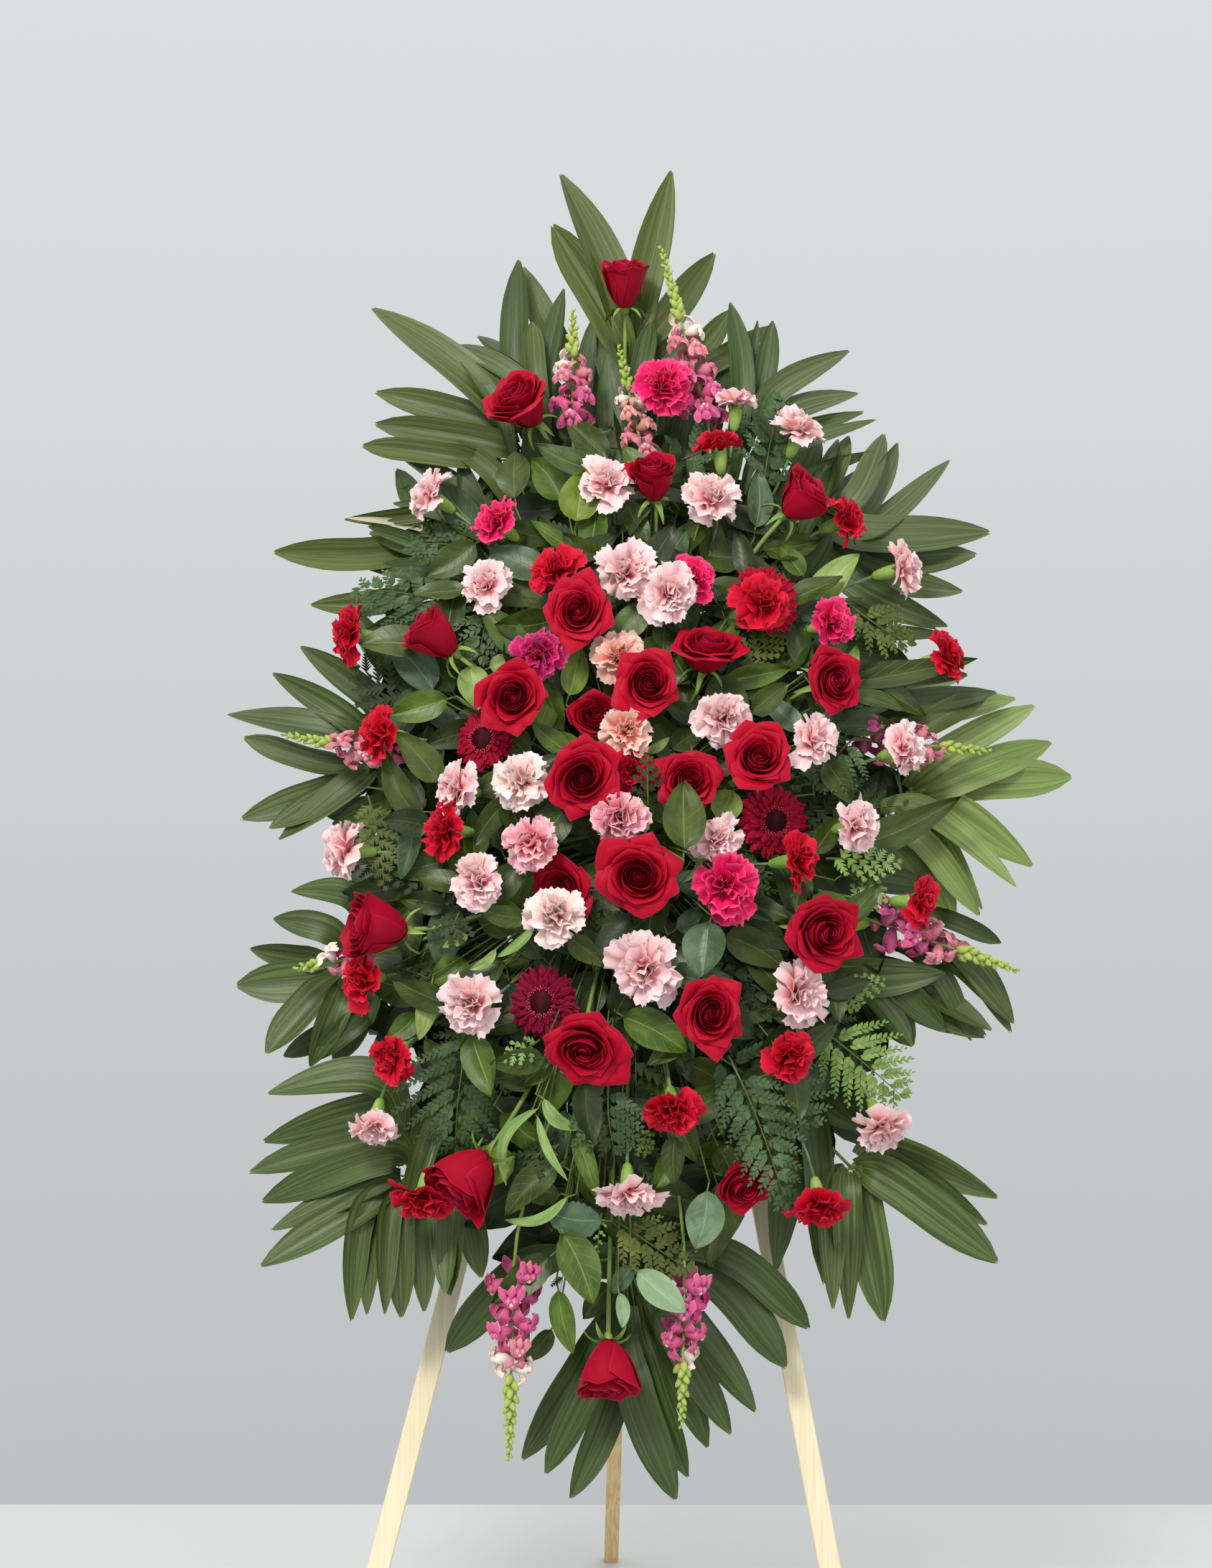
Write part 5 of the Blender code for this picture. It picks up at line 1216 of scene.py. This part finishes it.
def wood_finish(name, colour, dark, along):
    """Planed softwood: along says which way the grain runs, u, v or z."""
    f = Finish(name, {"Roughness": 0.55, "Specular IOR Level": 0.35})
    x, y, z = f.split(f.coordinates("Object"))
    up = y * math.sin(LEAN) + z * math.cos(LEAN)
    out = y * math.cos(LEAN) - z * math.sin(LEAN)
    if along == "u":
        grain_at = f.vector(x * 1.6, up * 55, out * 55)
        fibre_at = f.vector(x * 9, up * 420, out * 420)
    else:
        run, thick = (up, out) if along == "v" else (z, y)
        grain_at = f.vector(x * 55, run * 1.6, thick * 40)
        fibre_at = f.vector(x * 420, run * 9, thick * 420)
    bands = (f.noise(grain_at, 1.0, 2.0, 0.55) * 46).sine()
    fibre = f.noise(fibre_at, 1.0)
    blotch = f.grain(7.0)
    base = f.mix(bands.step(-0.2, 1.0) * 0.50, colour, dark)
    base = f.mix(fibre.step(0.50, 0.80) * 0.35, base, tinted(dark, 0.75))
    base = f.mix(blotch.step(0.40, 0.75) * 0.25, base, dark)
    return f.done(base, 0.46 + fibre * 0.25, fibre * 0.6 + bands * 0.12, 0.35, 0.0006)


def plastic_finish(name, colour):
    """Moulded green plastic with faint flow marks and scuffs."""
    f = Finish(name, {"Roughness": 0.42, "Specular IOR Level": 0.5})
    flow = f.grain(14.0, 3.0)
    scuff = f.grain(260.0, 2.0, 0.7)
    base = f.mix(flow.step(0.3, 0.7), colour, tinted(colour, 0.75))
    base = f.mix(scuff.step(0.62, 0.78) * 0.25, base, towards(colour, (0.5, 0.5, 0.5), 0.4))
    return f.done(base, 0.34 + scuff * 0.3, scuff, 0.2, 0.0004)


def foam_finish(name, colour):
    """Wet floral foam: a fine dark green crumb."""
    f = Finish(name, {"Roughness": 0.9, "Specular IOR Level": 0.2})
    crumb = f.grain(620.0, 3.0, 0.7)
    damp = f.grain(18.0)
    base = f.mix(crumb.step(0.35, 0.65), tinted(colour, 0.55), colour)
    base = f.mix(damp.step(0.4, 0.7) * 0.5, base, tinted(colour, 0.6))
    return f.done(base, 0.95 - damp * 0.3, crumb, 0.8, 0.0012)


def metal_finish(name, colour, brushed):
    """Zinc-plated steel or varnished wire, with fine scratches."""
    f = Finish(name, {"Metallic": brushed, "Roughness": 0.35})
    scratch = f.grain(900.0, 2.0, 0.6)
    cloud = f.grain(60.0)
    return f.done(f.mix(cloud.step(0.3, 0.7), colour, tinted(colour, 0.7)),
                  0.25 + scratch * 0.3, scratch, 0.15, 0.0003)


def floor_finish(colour):
    """A plain pale floor with the faintest unevenness."""
    f = Finish("pale_floor", {"Roughness": 0.7, "Specular IOR Level": 0.3})
    drift = f.grain(0.8)
    return f.done(f.mix(drift, colour, tinted(colour, 0.97)), 0.62 + drift * 0.12)


def backdrop(colour):
    """A plain backdrop all round, with a wide soft light overhead."""
    f = Finish("backdrop", {"Color": (*colour, 1)}, "worlds", "Background")
    *_, z = f.split(f.coordinates("Generated"))
    side = 0.80 + z.step(-0.38, 0.38) * 0.34
    f.feed("Strength", side - z.step(0.34, 0.55) * 0.45 + z.step(0.45, 0.95) * 1.6)
    return f.material


def tone(words, *shade):
    """A colour that the sidebar sets, from its screen values."""
    return FloatVectorProperty(name=words, description=f"Colour of the {words.lower()}",
                               subtype="COLOR", size=3, min=0.0, max=1.0, default=screen(*shade))


def distance(words, description, default):
    """A length that the sidebar sets."""
    return FloatProperty(name=words, description=description, default=default, min=0.0,
                         subtype="DISTANCE", unit="LENGTH")


def number(words, description, default, low, high):
    """A count that the sidebar sets."""
    return IntProperty(name=words, description=description, default=default, min=low, max=high)


class SprayColours(PropertyGroup):
    """Colours of the flowers, the greens and the easel."""

    rose: tone("Rose petals", 171, 2, 35)
    gerbera: tone("Gerbera petals", 164, 6, 44)
    red: tone("Red carnations", 204, 10, 44)
    pale: tone("Pale pink carnations", 248, 210, 211)
    peach: tone("Peach carnations", 252, 194, 178)
    cream: tone("Cream carnations", 248, 221, 215)
    pink: tone("Pink carnations", 250, 172, 184)
    hot: tone("Hot pink carnations", 236, 26, 104)
    magenta: tone("Magenta carnations", 196, 18, 96)
    snapdragon: tone("Snapdragon florets", 212, 92, 142)
    palm: tone("Palm leaflets", 60, 80, 28)
    pale_palm: tone("Lighter palm leaflets", 112, 138, 64)
    fern: tone("Fern", 40, 58, 26)
    stem: tone("Rose stems", 120, 150, 70)
    pine: tone("Pale pine", 230, 220, 190)
    tan_pine: tone("Tan pine", 224, 196, 146)
    plastic: tone("Green plastic", 24, 70, 40)
    foam: tone("Floral foam", 38, 84, 52)
    floor: tone("Floor", 192, 194, 194)
    backdrop: tone("Backdrop", 208, 211, 212)


class SpraySizes(PropertyGroup):
    """Sizes and counts that change how full the spray looks."""

    rose_petal: distance("Rose petal thickness", "Thickness of a rose petal", 0.0007)
    carnation_petals: number("Carnation petals", "Petals in each carnation", 28, 12, 80)
    pleat: distance("Palm pleat", "Depth of the pleats of a palm leaflet", 0.0009)
    broad_leaves: number("Broad leaves", "Broad leaves packed between the flowers", 340, 0, 400)
    fern_fronds: number("Fern fronds", "Fern fronds packed between the flowers", 13, 0, 60)
    floor_width: distance("Floor width", "Width of the floor", 16.0)


def look(context):
    """The colours and the sizes that are set in the sidebar."""
    colours = context.scene.spray_colours
    return (SimpleNamespace(**{key: tuple(getattr(colours, key))
                               for key in colours.__annotations__}), context.scene.spray_sizes)


def dress(nodes, finish):
    """Gives CAD nodes a better finish and leaves their shape alone."""
    for name in nodes:
        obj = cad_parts[name]
        for held in obj.material_slots:
            held.material = finish


class Step:
    """What every operator of the spray shares."""

    bl_options = {"REGISTER"}


class SPRAY_OT_stage(Step, Operator):
    """Sets the camera, the pale floor, the backdrop and the soft studio lights"""

    bl_idname = "spray.stage"
    bl_label = "Stage and Lights"

    def execute(self, context):
        colours, sizes = look(context)
        data = bpy.data.cameras.new("camera")
        data.lens = CAMERA_LENS
        data.clip_end = CAMERA_REACH
        camera = bpy.data.objects.new("camera", data)
        camera.location = CAMERA_PLACE
        camera.rotation_euler = (math.pi / 2, 0.0, 0.0)
        context.collection.objects.link(camera)
        context.scene.camera = camera
        half = sizes.floor_width / 2
        mesh = bpy.data.meshes.new("floor")
        mesh.from_pydata([(-half, FLOOR_FRONT_Y, 0), (half, FLOOR_FRONT_Y, 0),
                          (half, FLOOR_REAR_Y, 0), (-half, FLOOR_REAR_Y, 0)], [], [(0, 1, 2, 3)])
        mesh.materials.append(floor_finish(colours.floor))
        floor = bpy.data.objects.new("floor", mesh)
        context.collection.objects.link(floor)
        context.scene.world = backdrop(colours.backdrop)
        context.scene.view_settings.view_transform = "Standard"
        for name, place, aim, power, width in LIGHTS:
            light = bpy.data.lights.new(name, "AREA")
            light.energy = power
            light.color = LIGHT_COLOUR
            light.size = width
            lamp = bpy.data.objects.new(name, light)
            lamp.location = place
            x, y, z = axes_for(np.array(place) - np.array(aim))[2]
            lamp.rotation_euler = (math.acos(z), 0.0, math.atan2(x, -y))
            context.collection.objects.link(lamp)
        return {"FINISHED"}


class SPRAY_OT_easel(Step, Operator):
    """Finishes the wooden easel, its screws and its hinge bolt"""

    bl_idname = "spray.easel"
    bl_label = "Wooden Easel"

    def execute(self, context):
        colours, _ = look(context)
        grain, dark_tan = screen(222, 204, 166), screen(196, 160, 108)
        dress(["front_leg_left", "front_leg_right"],
              wood_finish("pine_legs", colours.pine, grain, "v"))
        dress(["upper_rail", "lower_rail", "head_block"],
              wood_finish("pine_rails", colours.pine, grain, "u"))
        dress(["rear_leg"], wood_finish("tan_rear_leg", colours.tan_pine, dark_tan, "z"))
        dress(["leg_screw_left", "leg_screw_right", "hinge_bolt"],
              metal_finish("zinc", (0.62, 0.62, 0.60), 1.0))
        return {"FINISHED"}


class SPRAY_OT_holder(Step, Operator):
    """Finishes the foam, its tray and cage, and the wires that tie them to the rails"""

    bl_idname = "spray.holder"
    bl_label = "Foam Holder"

    def execute(self, context):
        colours, _ = look(context)
        dress(["holder_tray", "cage_cover"], plastic_finish("green_plastic", colours.plastic))
        dress(["foam_block"], foam_finish("wet_foam", colours.foam))
        dress(["wire_tie_upper", "wire_tie_lower"],
              metal_finish("varnished_wire", screen(30, 60, 36), 0.3))
        return {"FINISHED"}


class SPRAY_OT_palm(Step, Operator):
    """Grows the palm fronds that fan out behind the flowers"""

    bl_idname = "spray.palm"
    bl_label = "Palm Fronds"

    def execute(self, context):
        colours, sizes = look(context)
        dry = screen(140, 118, 78)
        tints = {"mid": (colours.palm, screen(104, 126, 68)),
                 "light": (colours.pale_palm, screen(148, 166, 102)),
                 "deep": (screen(50, 72, 24), screen(84, 108, 52)),
                 "olive": (screen(70, 86, 28), screen(104, 118, 56)),
                 "grey": (screen(72, 90, 46), screen(112, 130, 82)),
                 "dry": (screen(196, 190, 160), screen(216, 210, 184))}
        looks = {key: palm_finish(key + "_palm", body, pale, dry)
                 for key, (body, pale) in tints.items()}
        stalk = stem_finish("palm_stalk", screen(92, 124, 62), screen(126, 150, 92))
        for layer, (name, tint, hub, entry, leaflets) in enumerate(FRONDS):
            rng = draws("palm", layer)
            w = LOWEST_FROND_W + layer * FROND_PITCH_W
            growth = Growth()
            hub, entry = np.array((hub, entry))
            centre = np.append(hub, w)
            for row in leaflets:
                start = palm_leaflet(growth, hub, row, w, rng, sizes.pleat)
                middle = (start + centre) / 2 + [0, 0, -0.002]
                growth.rod([centre, middle, start + [0, 0, 0.001]], [0.0020, 0.0016, 0.0010],
                           sides=6, chance=0.5)
            growth.rod([(*entry, w), (*(entry * 0.5 + hub * 0.5), w), centre],
                       [0.0026, 0.0024, 0.0021], chance=0.5)
            growth.piece(name + "_leaflets", [looks[tint], stalk], "palm_green", [name])
        grown = {}
        for i, (tint, *row, w) in enumerate(STRAPS):
            growth = grown.setdefault(tint, Growth())
            base = np.array(row[:2])
            hub = base + 0.25 * (np.array(HOLDER) - base)
            start = palm_leaflet(growth, hub, row, w, draws("strap", i), sizes.pleat, (14, 7))
            twig(growth, start, np.append(base - start[:2], 0.0), 0.0014)
        for tint, growth in grown.items():
            growth.piece("palm_straps_" + tint, [looks[tint], stalk], "palm_green")
        return {"FINISHED"}


class SPRAY_OT_ferns(Step, Operator):
    """Tucks fern fronds between the flowers and round the edge of the spray"""

    bl_idname = "spray.ferns"
    bl_label = "Fern Fronds"

    def execute(self, context):
        colours, sizes = look(context)
        looks = {"deep": fern_finish("deep_fern", colours.fern, tinted(colours.fern, 1.9)),
                 "olive": fern_finish("olive_fern", screen(76, 88, 34), screen(112, 122, 60)),
                 "light": fern_finish("light_fern", screen(112, 144, 70), screen(150, 180, 106)),
                 "leather": fern_finish("leather_fern", screen(54, 76, 42), screen(90, 116, 76))}
        stalk = stem_finish("fern_stalk", screen(74, 88, 40), screen(104, 116, 62))
        rng = draws("packed_ferns")
        for i in range(sizes.fern_fronds):
            turn = math.tau * i / sizes.fern_fronds + rng.uniform(-0.15, 0.15)
            near, far = rng.uniform(0.15, 0.35), rng.uniform(0.80, 1.0)
            axis = np.array([math.cos(turn) * 0.38, math.sin(turn) * 0.62])
            start = np.array(HOLDER) + axis * near
            tip = np.array(HOLDER) + axis * far
            mid = (start + tip) / 2 + rng.uniform(-0.03, 0.03, 2)
            high = rng.uniform(0.10, 0.17)
            growth = Growth()
            fern(growth, (*start, high), (*mid, high + 0.04), under_dome(*tip, 0.05),
                 rng.uniform(0.075, 0.10), rng, lobes=6)
            twig(growth, np.array([*start, high]), (*axis, 0.05), 0.0016)
            growth.piece(f"fern_{i + 1:02d}", [looks["deep"], stalk], "palm_green")
        for i, (tint, root_u, root_v, tip_u, tip_v, side, sink) in enumerate(FERNS):
            rng = draws("fern", i)
            root = under_dome(root_u, root_v, sink)
            tip = under_dome(tip_u, tip_v, sink) + [0, 0, rng.uniform(0.0, 0.02)]
            bend = (root + tip) / 2 + [*rng.uniform(-0.012, 0.012, 2), 0.015]
            far = np.linalg.norm(tip - root)
            growth = Growth()
            split = side > 0.035
            pairs = int(min(11, 2 + far / (0.028 if split else 0.021)))
            fern(growth, root, bend, tip, side * 1.15, rng, pairs=pairs,
                 lobes=int(min(7, 2 + side / 0.011)), plump=min(0.24, 0.46 * far / pairs / side),
                 split=split)
            if split and tint == "deep":
                tint = "leather"
            twig(growth, root, tip - root, 0.0013)
            growth.piece(f"fern_{tint}_{i + 1:02d}", [looks[tint], stalk], "palm_green")
        return {"FINISHED"}


class SPRAY_OT_leaves(Step, Operator):
    """Packs broad leaves between the flowers, so that no foam shows"""

    bl_idname = "spray.leaves"
    bl_label = "Broad Leaves"

    def execute(self, context):
        _, sizes = look(context)
        looks = {kind: leaf_finish(kind + "_leaf", *(screen(*shade) for shade in shades))
                 for kind, (*shades, _) in LEAF_KINDS.items()}
        stalk = stem_finish("leaf_stalk", screen(96, 112, 50), screen(130, 146, 84))
        grown = {}
        self.pack(grown, sizes.broad_leaves)
        self.collar(grown)
        self.show(grown)
        for (layer, kind), growth in grown.items():
            growth.piece(f"leaves_{layer}_{kind}", [looks[kind], stalk], "palm_green")
        return {"FINISHED"}

    @staticmethod
    def pack(grown, leaves):
        """The leaves that fill the spray from the foam outwards."""
        rng = draws("packed_leaves")
        for layer, share, depths, lengths, reach, kinds, grid in LEAF_LAYERS:
            number = int(leaves * share)
            kinds = kinds.split()
            for k in range(number):
                out = math.sqrt((k + 0.5) / number)
                turn = k * GOLDEN_TURN
                u = HOLDER[0] + reach[0] * out * math.cos(turn)
                v = HOLDER[1] + reach[1] * out * math.sin(turn)
                long = rng.uniform(*lengths)
                w = max(tuck(u, v, dome(u, v) - rng.uniform(*depths), 0.40 * long),
                        rng.uniform(*LOWEST_LEAF_W))
                spin = turn + rng.uniform(-1.6, 1.6)
                ahead = np.array([math.cos(spin), math.sin(spin), rng.uniform(-0.25, 0.25)])
                facing = np.array([1.2 * (u - HOLDER[0]), 0.6 * (v - HOLDER[1]), 1.0])
                growth = grown.setdefault((layer, kinds[rng.integers(len(kinds))]), Growth())
                root = np.array([u, v, w]) - ahead * long * 0.4
                leaf(growth, root, ahead, facing + [*rng.uniform(-0.7, 0.7, 2), 0], long,
                     long * rng.uniform(0.42, 0.62), rng, rng.random(), grid)
                if root[2] > STEM_START_W:
                    twig(growth, root, ahead)

    @staticmethod
    def collar(grown):
        """Three leaves round each of the inner flowers."""
        rng = draws("collars")
        for u, v, w, radius in BLOOMS:
            if math.hypot((u - HOLDER[0]) / COLLAR_HALF[0],
                          (v - HOLDER[1]) / COLLAR_HALF[1]) > COLLAR_SHARE:
                continue
            start = rng.uniform(*ANY_TURN)
            for k in range(3):
                out = spoke(start + 2.1 * k + rng.uniform(-0.5, 0.5))
                long = rng.uniform(0.055, 0.085)
                root = np.array([u, v, w]) + out * (radius + rng.uniform(-0.025, 0.0))
                middle = root + out * 0.5 * long
                root[2] = tuck(*middle[:2], w - 0.020, 0.35 * long) - rng.uniform(0.0, 0.02)
                ahead = out + [*rng.uniform(-0.4, 0.4, 2), rng.uniform(-0.1, 0.25)]
                kind = COLLAR_KINDS[rng.integers(len(COLLAR_KINDS))]
                growth = grown.setdefault(("collar", kind), Growth())
                leaf(growth, root, ahead, [*rng.uniform(-0.6, 0.6, 2), 1.0], long,
                     long * rng.uniform(0.42, 0.60), rng, rng.random(), (9, 5))
                twig(growth, root, ahead)

    @staticmethod
    def show(grown):
        """The leaves that show, each in its place."""
        for i, (kind, root_u, root_v, tip_u, tip_v, wide, sink) in enumerate(LEAVES):
            rng = draws("leaf", i)
            root = under_dome(root_u, root_v, sink)
            tip = np.array([tip_u, tip_v, root[2]])
            ahead = unit(tip - root) + [0, 0, rng.uniform(-0.15, 0.25)]
            sway, bend = (0.30, 0.35) if kind == "curl" else (0.08, 0.15)
            rows, teeth = (17, 0.14) if kind == "tooth" else (13, 0.0)
            growth = grown.setdefault(("top", kind), Growth())
            leaf(growth, root, ahead, [*rng.uniform(-0.35, 0.35, 2), 1.0],
                 np.linalg.norm(tip - root), wide, rng, rng.random() * 0.6, (rows, 7),
                 swell=LEAF_KINDS[kind][3], fold=rng.uniform(0.04, 0.20), sway=sway, bend=bend,
                 teeth=teeth)
            twig(growth, root, ahead)


class SPRAY_OT_roses(Step, Operator):
    """Grows the roses on their stems"""

    bl_idname = "spray.roses"
    bl_label = "Roses"

    def execute(self, context):
        colours, sizes = look(context)
        # The roses' heart colour is a lighter red than the body: painted light that fills the shade deep
        # in the bloom. Their paler rim is painted highlight on the petal lips.
        petal = petal_finish("rose_petal", colours.rose,
                             towards(colours.rose, screen(255, 50, 84), 0.3),
                             screen(200, 40, 76), streaks=0.12, rim_share=0.32, rim_wide=0.06,
                             shade=0.24, outside=screen(150, 5, 36), velvet=0.05, glow=0.28)
        green = stem_finish("rose_stem", colours.stem, screen(150, 170, 96))
        for i, (name, u, v, sink, width, long, fu, fv, openness) in enumerate(ROSES):
            facing = unit(np.array([fu, fv, 1.0]))
            base = under_dome(u, v, sink) - facing * long / 2
            growth = Growth()
            rose(growth, base, facing, width, long, openness, draws("rose", i), sizes.rose_petal)
            growth.rod(stem_route(u, v, base, facing), STEM_RADIUS, sides=8)
            growth.piece(name + "_bloom", [petal, green], "rose_red", [name])
        return {"FINISHED"}


class SPRAY_OT_gerberas(Step, Operator):
    """Grows the gerberas"""

    bl_idname = "spray.gerberas"
    bl_label = "Gerberas"

    def execute(self, context):
        colours, _ = look(context)
        green = stem_finish("gerbera_stem", screen(96, 124, 64), screen(130, 150, 92))
        eye = petal_finish("gerbera_eye", screen(50, 3, 18), screen(24, 2, 8),
                           screen(90, 20, 32), rim_share=0.5)
        tips = petal_finish("gerbera_tips", screen(214, 96, 112), screen(150, 20, 50),
                            screen(240, 170, 150))
        for i, (name, u, v, sink, width, fu, fv, wine) in enumerate(GERBERAS):
            shade = towards(colours.gerbera, screen(112, 4, 44), wine)
            petal = petal_finish(name + "_petal", shade, tinted(shade, 0.5),
                                 towards(shade, screen(200, 24, 60), 0.6 - 0.4 * wine),
                                 streaks=0.3)
            facing = unit(np.array([fu, fv, 1.0]))
            base = under_dome(u, v, sink) - facing * GERBERA_LENGTH / 2
            growth = Growth()
            gerbera(growth, base, facing, width, draws("gerbera", i))
            growth.rod(stem_route(u, v, base, facing), STEM_RADIUS, sides=8)
            growth.piece(name + "_bloom", [petal, green, eye, tips], "gerbera_crimson", [name])
        return {"FINISHED"}


class SPRAY_OT_carnations(Step, Operator):
    """Grows the carnations"""

    bl_idname = "spray.carnations"
    bl_label = "Carnations"

    def execute(self, context):
        colours, sizes = look(context)
        # The hearts are the deeper colour at the base of each petal: partly the carnations' own colour and
        # partly painted shade deep in the bloom.
        hearts = {"pale": screen(248, 118, 132), "peach": screen(255, 136, 112),
                  "cream": screen(252, 160, 156), "pink": screen(234, 80, 112)}
        # The deep kinds: how dark the heart is, which is partly painted shade as above, and what their
        # rims turn to and how far
        deeps = {"red": (0.50, (1.0, 0.10, 0.15), 0.3), "hot": (0.55, (1.0, 0.35, 0.55), 0.4),
                 "magenta": (0.5, (1, 0.4, 0.7), 0.4)}
        finishes = {}
        for key in (*hearts, *deeps):
            body = getattr(colours, key)
            if key in hearts:
                heart, rim, glow, shade = hearts[key], (0.93, 0.85, 0.85), 0.24, 0.22
            else:
                dark, bright, share = deeps[key]
                heart, rim, glow, shade = tinted(body, dark), towards(body, bright, share), 0.12, 0.25
            finishes[key] = petal_finish("carnation_" + key, body, heart, rim, streaks=0.22,
                                         velvet=0.20, glow=glow, rim_share=0.5, heart_end=0.95,
                                         shade=shade)
        green = stem_finish("carnation_stem", screen(92, 122, 72), screen(132, 156, 112))
        barrel = stem_finish("carnation_calyx", screen(112, 150, 60), screen(160, 190, 104))
        counts = {}
        for i, (key, u, v, sink, width, fu, fv) in enumerate(CARNATIONS):
            counts[key] = counts.get(key, 0) + 1
            facing = unit(np.array([fu, fv, 1.0]))
            width *= RUFFLED
            mouth = under_dome(u, v, sink) - facing * 0.26 * width
            growth = Growth()
            carnation(growth, mouth, facing, width, sizes.carnation_petals, draws("carnation", i))
            jointed_stem(growth, stem_route(u, v, mouth - facing * 0.025, facing,
                                            (STEM_SPREAD[0] * 0.8, STEM_SPREAD[1] * 0.9)), 0.0019)
            growth.piece(f"carnation_{key}_{counts[key]:02d}", [finishes[key], green, barrel],
                         "rose_red")
        return {"FINISHED"}


class SPRAY_OT_snapdragons(Step, Operator):
    """Grows the snapdragon spikes"""

    bl_idname = "spray.snapdragons"
    bl_label = "Snapdragons"

    def execute(self, context):
        colours, _ = look(context)
        green = stem_finish("snapdragon_stem", screen(120, 148, 70), screen(156, 178, 104))
        bud_green = petal_finish("snapdragon_bud", screen(166, 184, 92), screen(120, 150, 70),
                                 screen(214, 204, 150), rim_share=0.2)
        lips = petal_finish("snapdragon_lip", screen(240, 196, 190), screen(236, 190, 120),
                            screen(246, 220, 214), rim_share=0.2)
        tints = {"pink": colours.snapdragon, "dusty": screen(216, 130, 146),
                 "cream": screen(246, 232, 220), "hot": screen(226, 88, 156),
                 "peach": screen(228, 158, 150)}
        finishes = [bud_green, green, lips]
        slots = {}
        for key, tint in tints.items():
            slots[key] = len(finishes)
            finishes.append(petal_finish("snapdragon_" + key, tint, tinted(tint, 0.6),
                                         towards(tint, (0.9, 0.8, 0.8), 0.4)))
        for i, (name, low_u, low_v, tip_u, tip_v, widest, keys) in enumerate(SNAPDRAGONS):
            rng = draws("snapdragon", i)
            low, tip = np.array([low_u, low_v, SNAP_W]), np.array([tip_u, tip_v, SNAP_TIP_W])
            ahead = unit(tip - low)
            growth = Growth()
            route = stem_route(tip_u, tip_v, low, ahead)
            growth.rod(np.concatenate([route, [low + (tip - low) * 0.5, tip]]),
                       [0.0022] * len(route) + [0.0017, 0.0006])
            keys = keys.split()
            tall = np.linalg.norm(tip - low)
            florets, buds = int(tall * FLORETS_PER_M), int(tall * BUDS_PER_M)
            axes = axes_for(ahead)
            for k in range(florets + buds):
                turn = k * GOLDEN_TURN + rng.uniform(-0.2, 0.2)
                out = math.cos(turn) * axes[0] + math.sin(turn) * axes[1]
                if k < florets:
                    colour = keys[min(len(keys) - 1, int(len(keys) * k / florets))]
                    floret(growth, low + (tip - low) * (0.58 * k / florets), out, ahead,
                           widest * (1.80 - 0.50 * k / florets), slots[colour], rng)
                else:
                    share = (k - florets) / buds
                    bud(growth, low + (tip - low) * (0.56 + 0.43 * share), out, ahead,
                        widest * (0.95 - 0.62 * share), rng)
            growth.piece(name + "_spike", finishes, "snapdragon_pink", [name])
        return {"FINISHED"}


class SPRAY_PT_panel(Panel):
    """Lists the spray's colours, sizes and steps in the sidebar"""

    bl_idname = "SPRAY_PT_panel"
    bl_label = "Standing Spray"
    bl_space_type = "VIEW_3D"
    bl_region_type = "UI"
    bl_category = "Spray"

    def draw(self, context):
        for group in (context.scene.spray_colours, context.scene.spray_sizes):
            box = self.layout.box()
            for name in group.__annotations__:
                box.prop(group, name)
        for step in STEPS:
            self.layout.operator(step.bl_idname)


STEPS = (SPRAY_OT_stage, SPRAY_OT_easel, SPRAY_OT_holder, SPRAY_OT_palm, SPRAY_OT_ferns,
         SPRAY_OT_leaves, SPRAY_OT_roses, SPRAY_OT_gerberas, SPRAY_OT_carnations,
         SPRAY_OT_snapdragons)
CLASSES = (SprayColours, SpraySizes, *STEPS, SPRAY_PT_panel)


def register():
    for cls in CLASSES:
        bpy.utils.register_class(cls)
    bpy.types.Scene.spray_colours = PointerProperty(type=SprayColours)
    bpy.types.Scene.spray_sizes = PointerProperty(type=SpraySizes)


def unregister():
    del bpy.types.Scene.spray_sizes
    del bpy.types.Scene.spray_colours
    for cls in reversed(CLASSES):
        bpy.utils.unregister_class(cls)


def main():
    register()
    for step in STEPS:
        group, name = step.bl_idname.split(".")
        getattr(getattr(bpy.ops, group), name)()


if __name__ == "__main__":
    main()
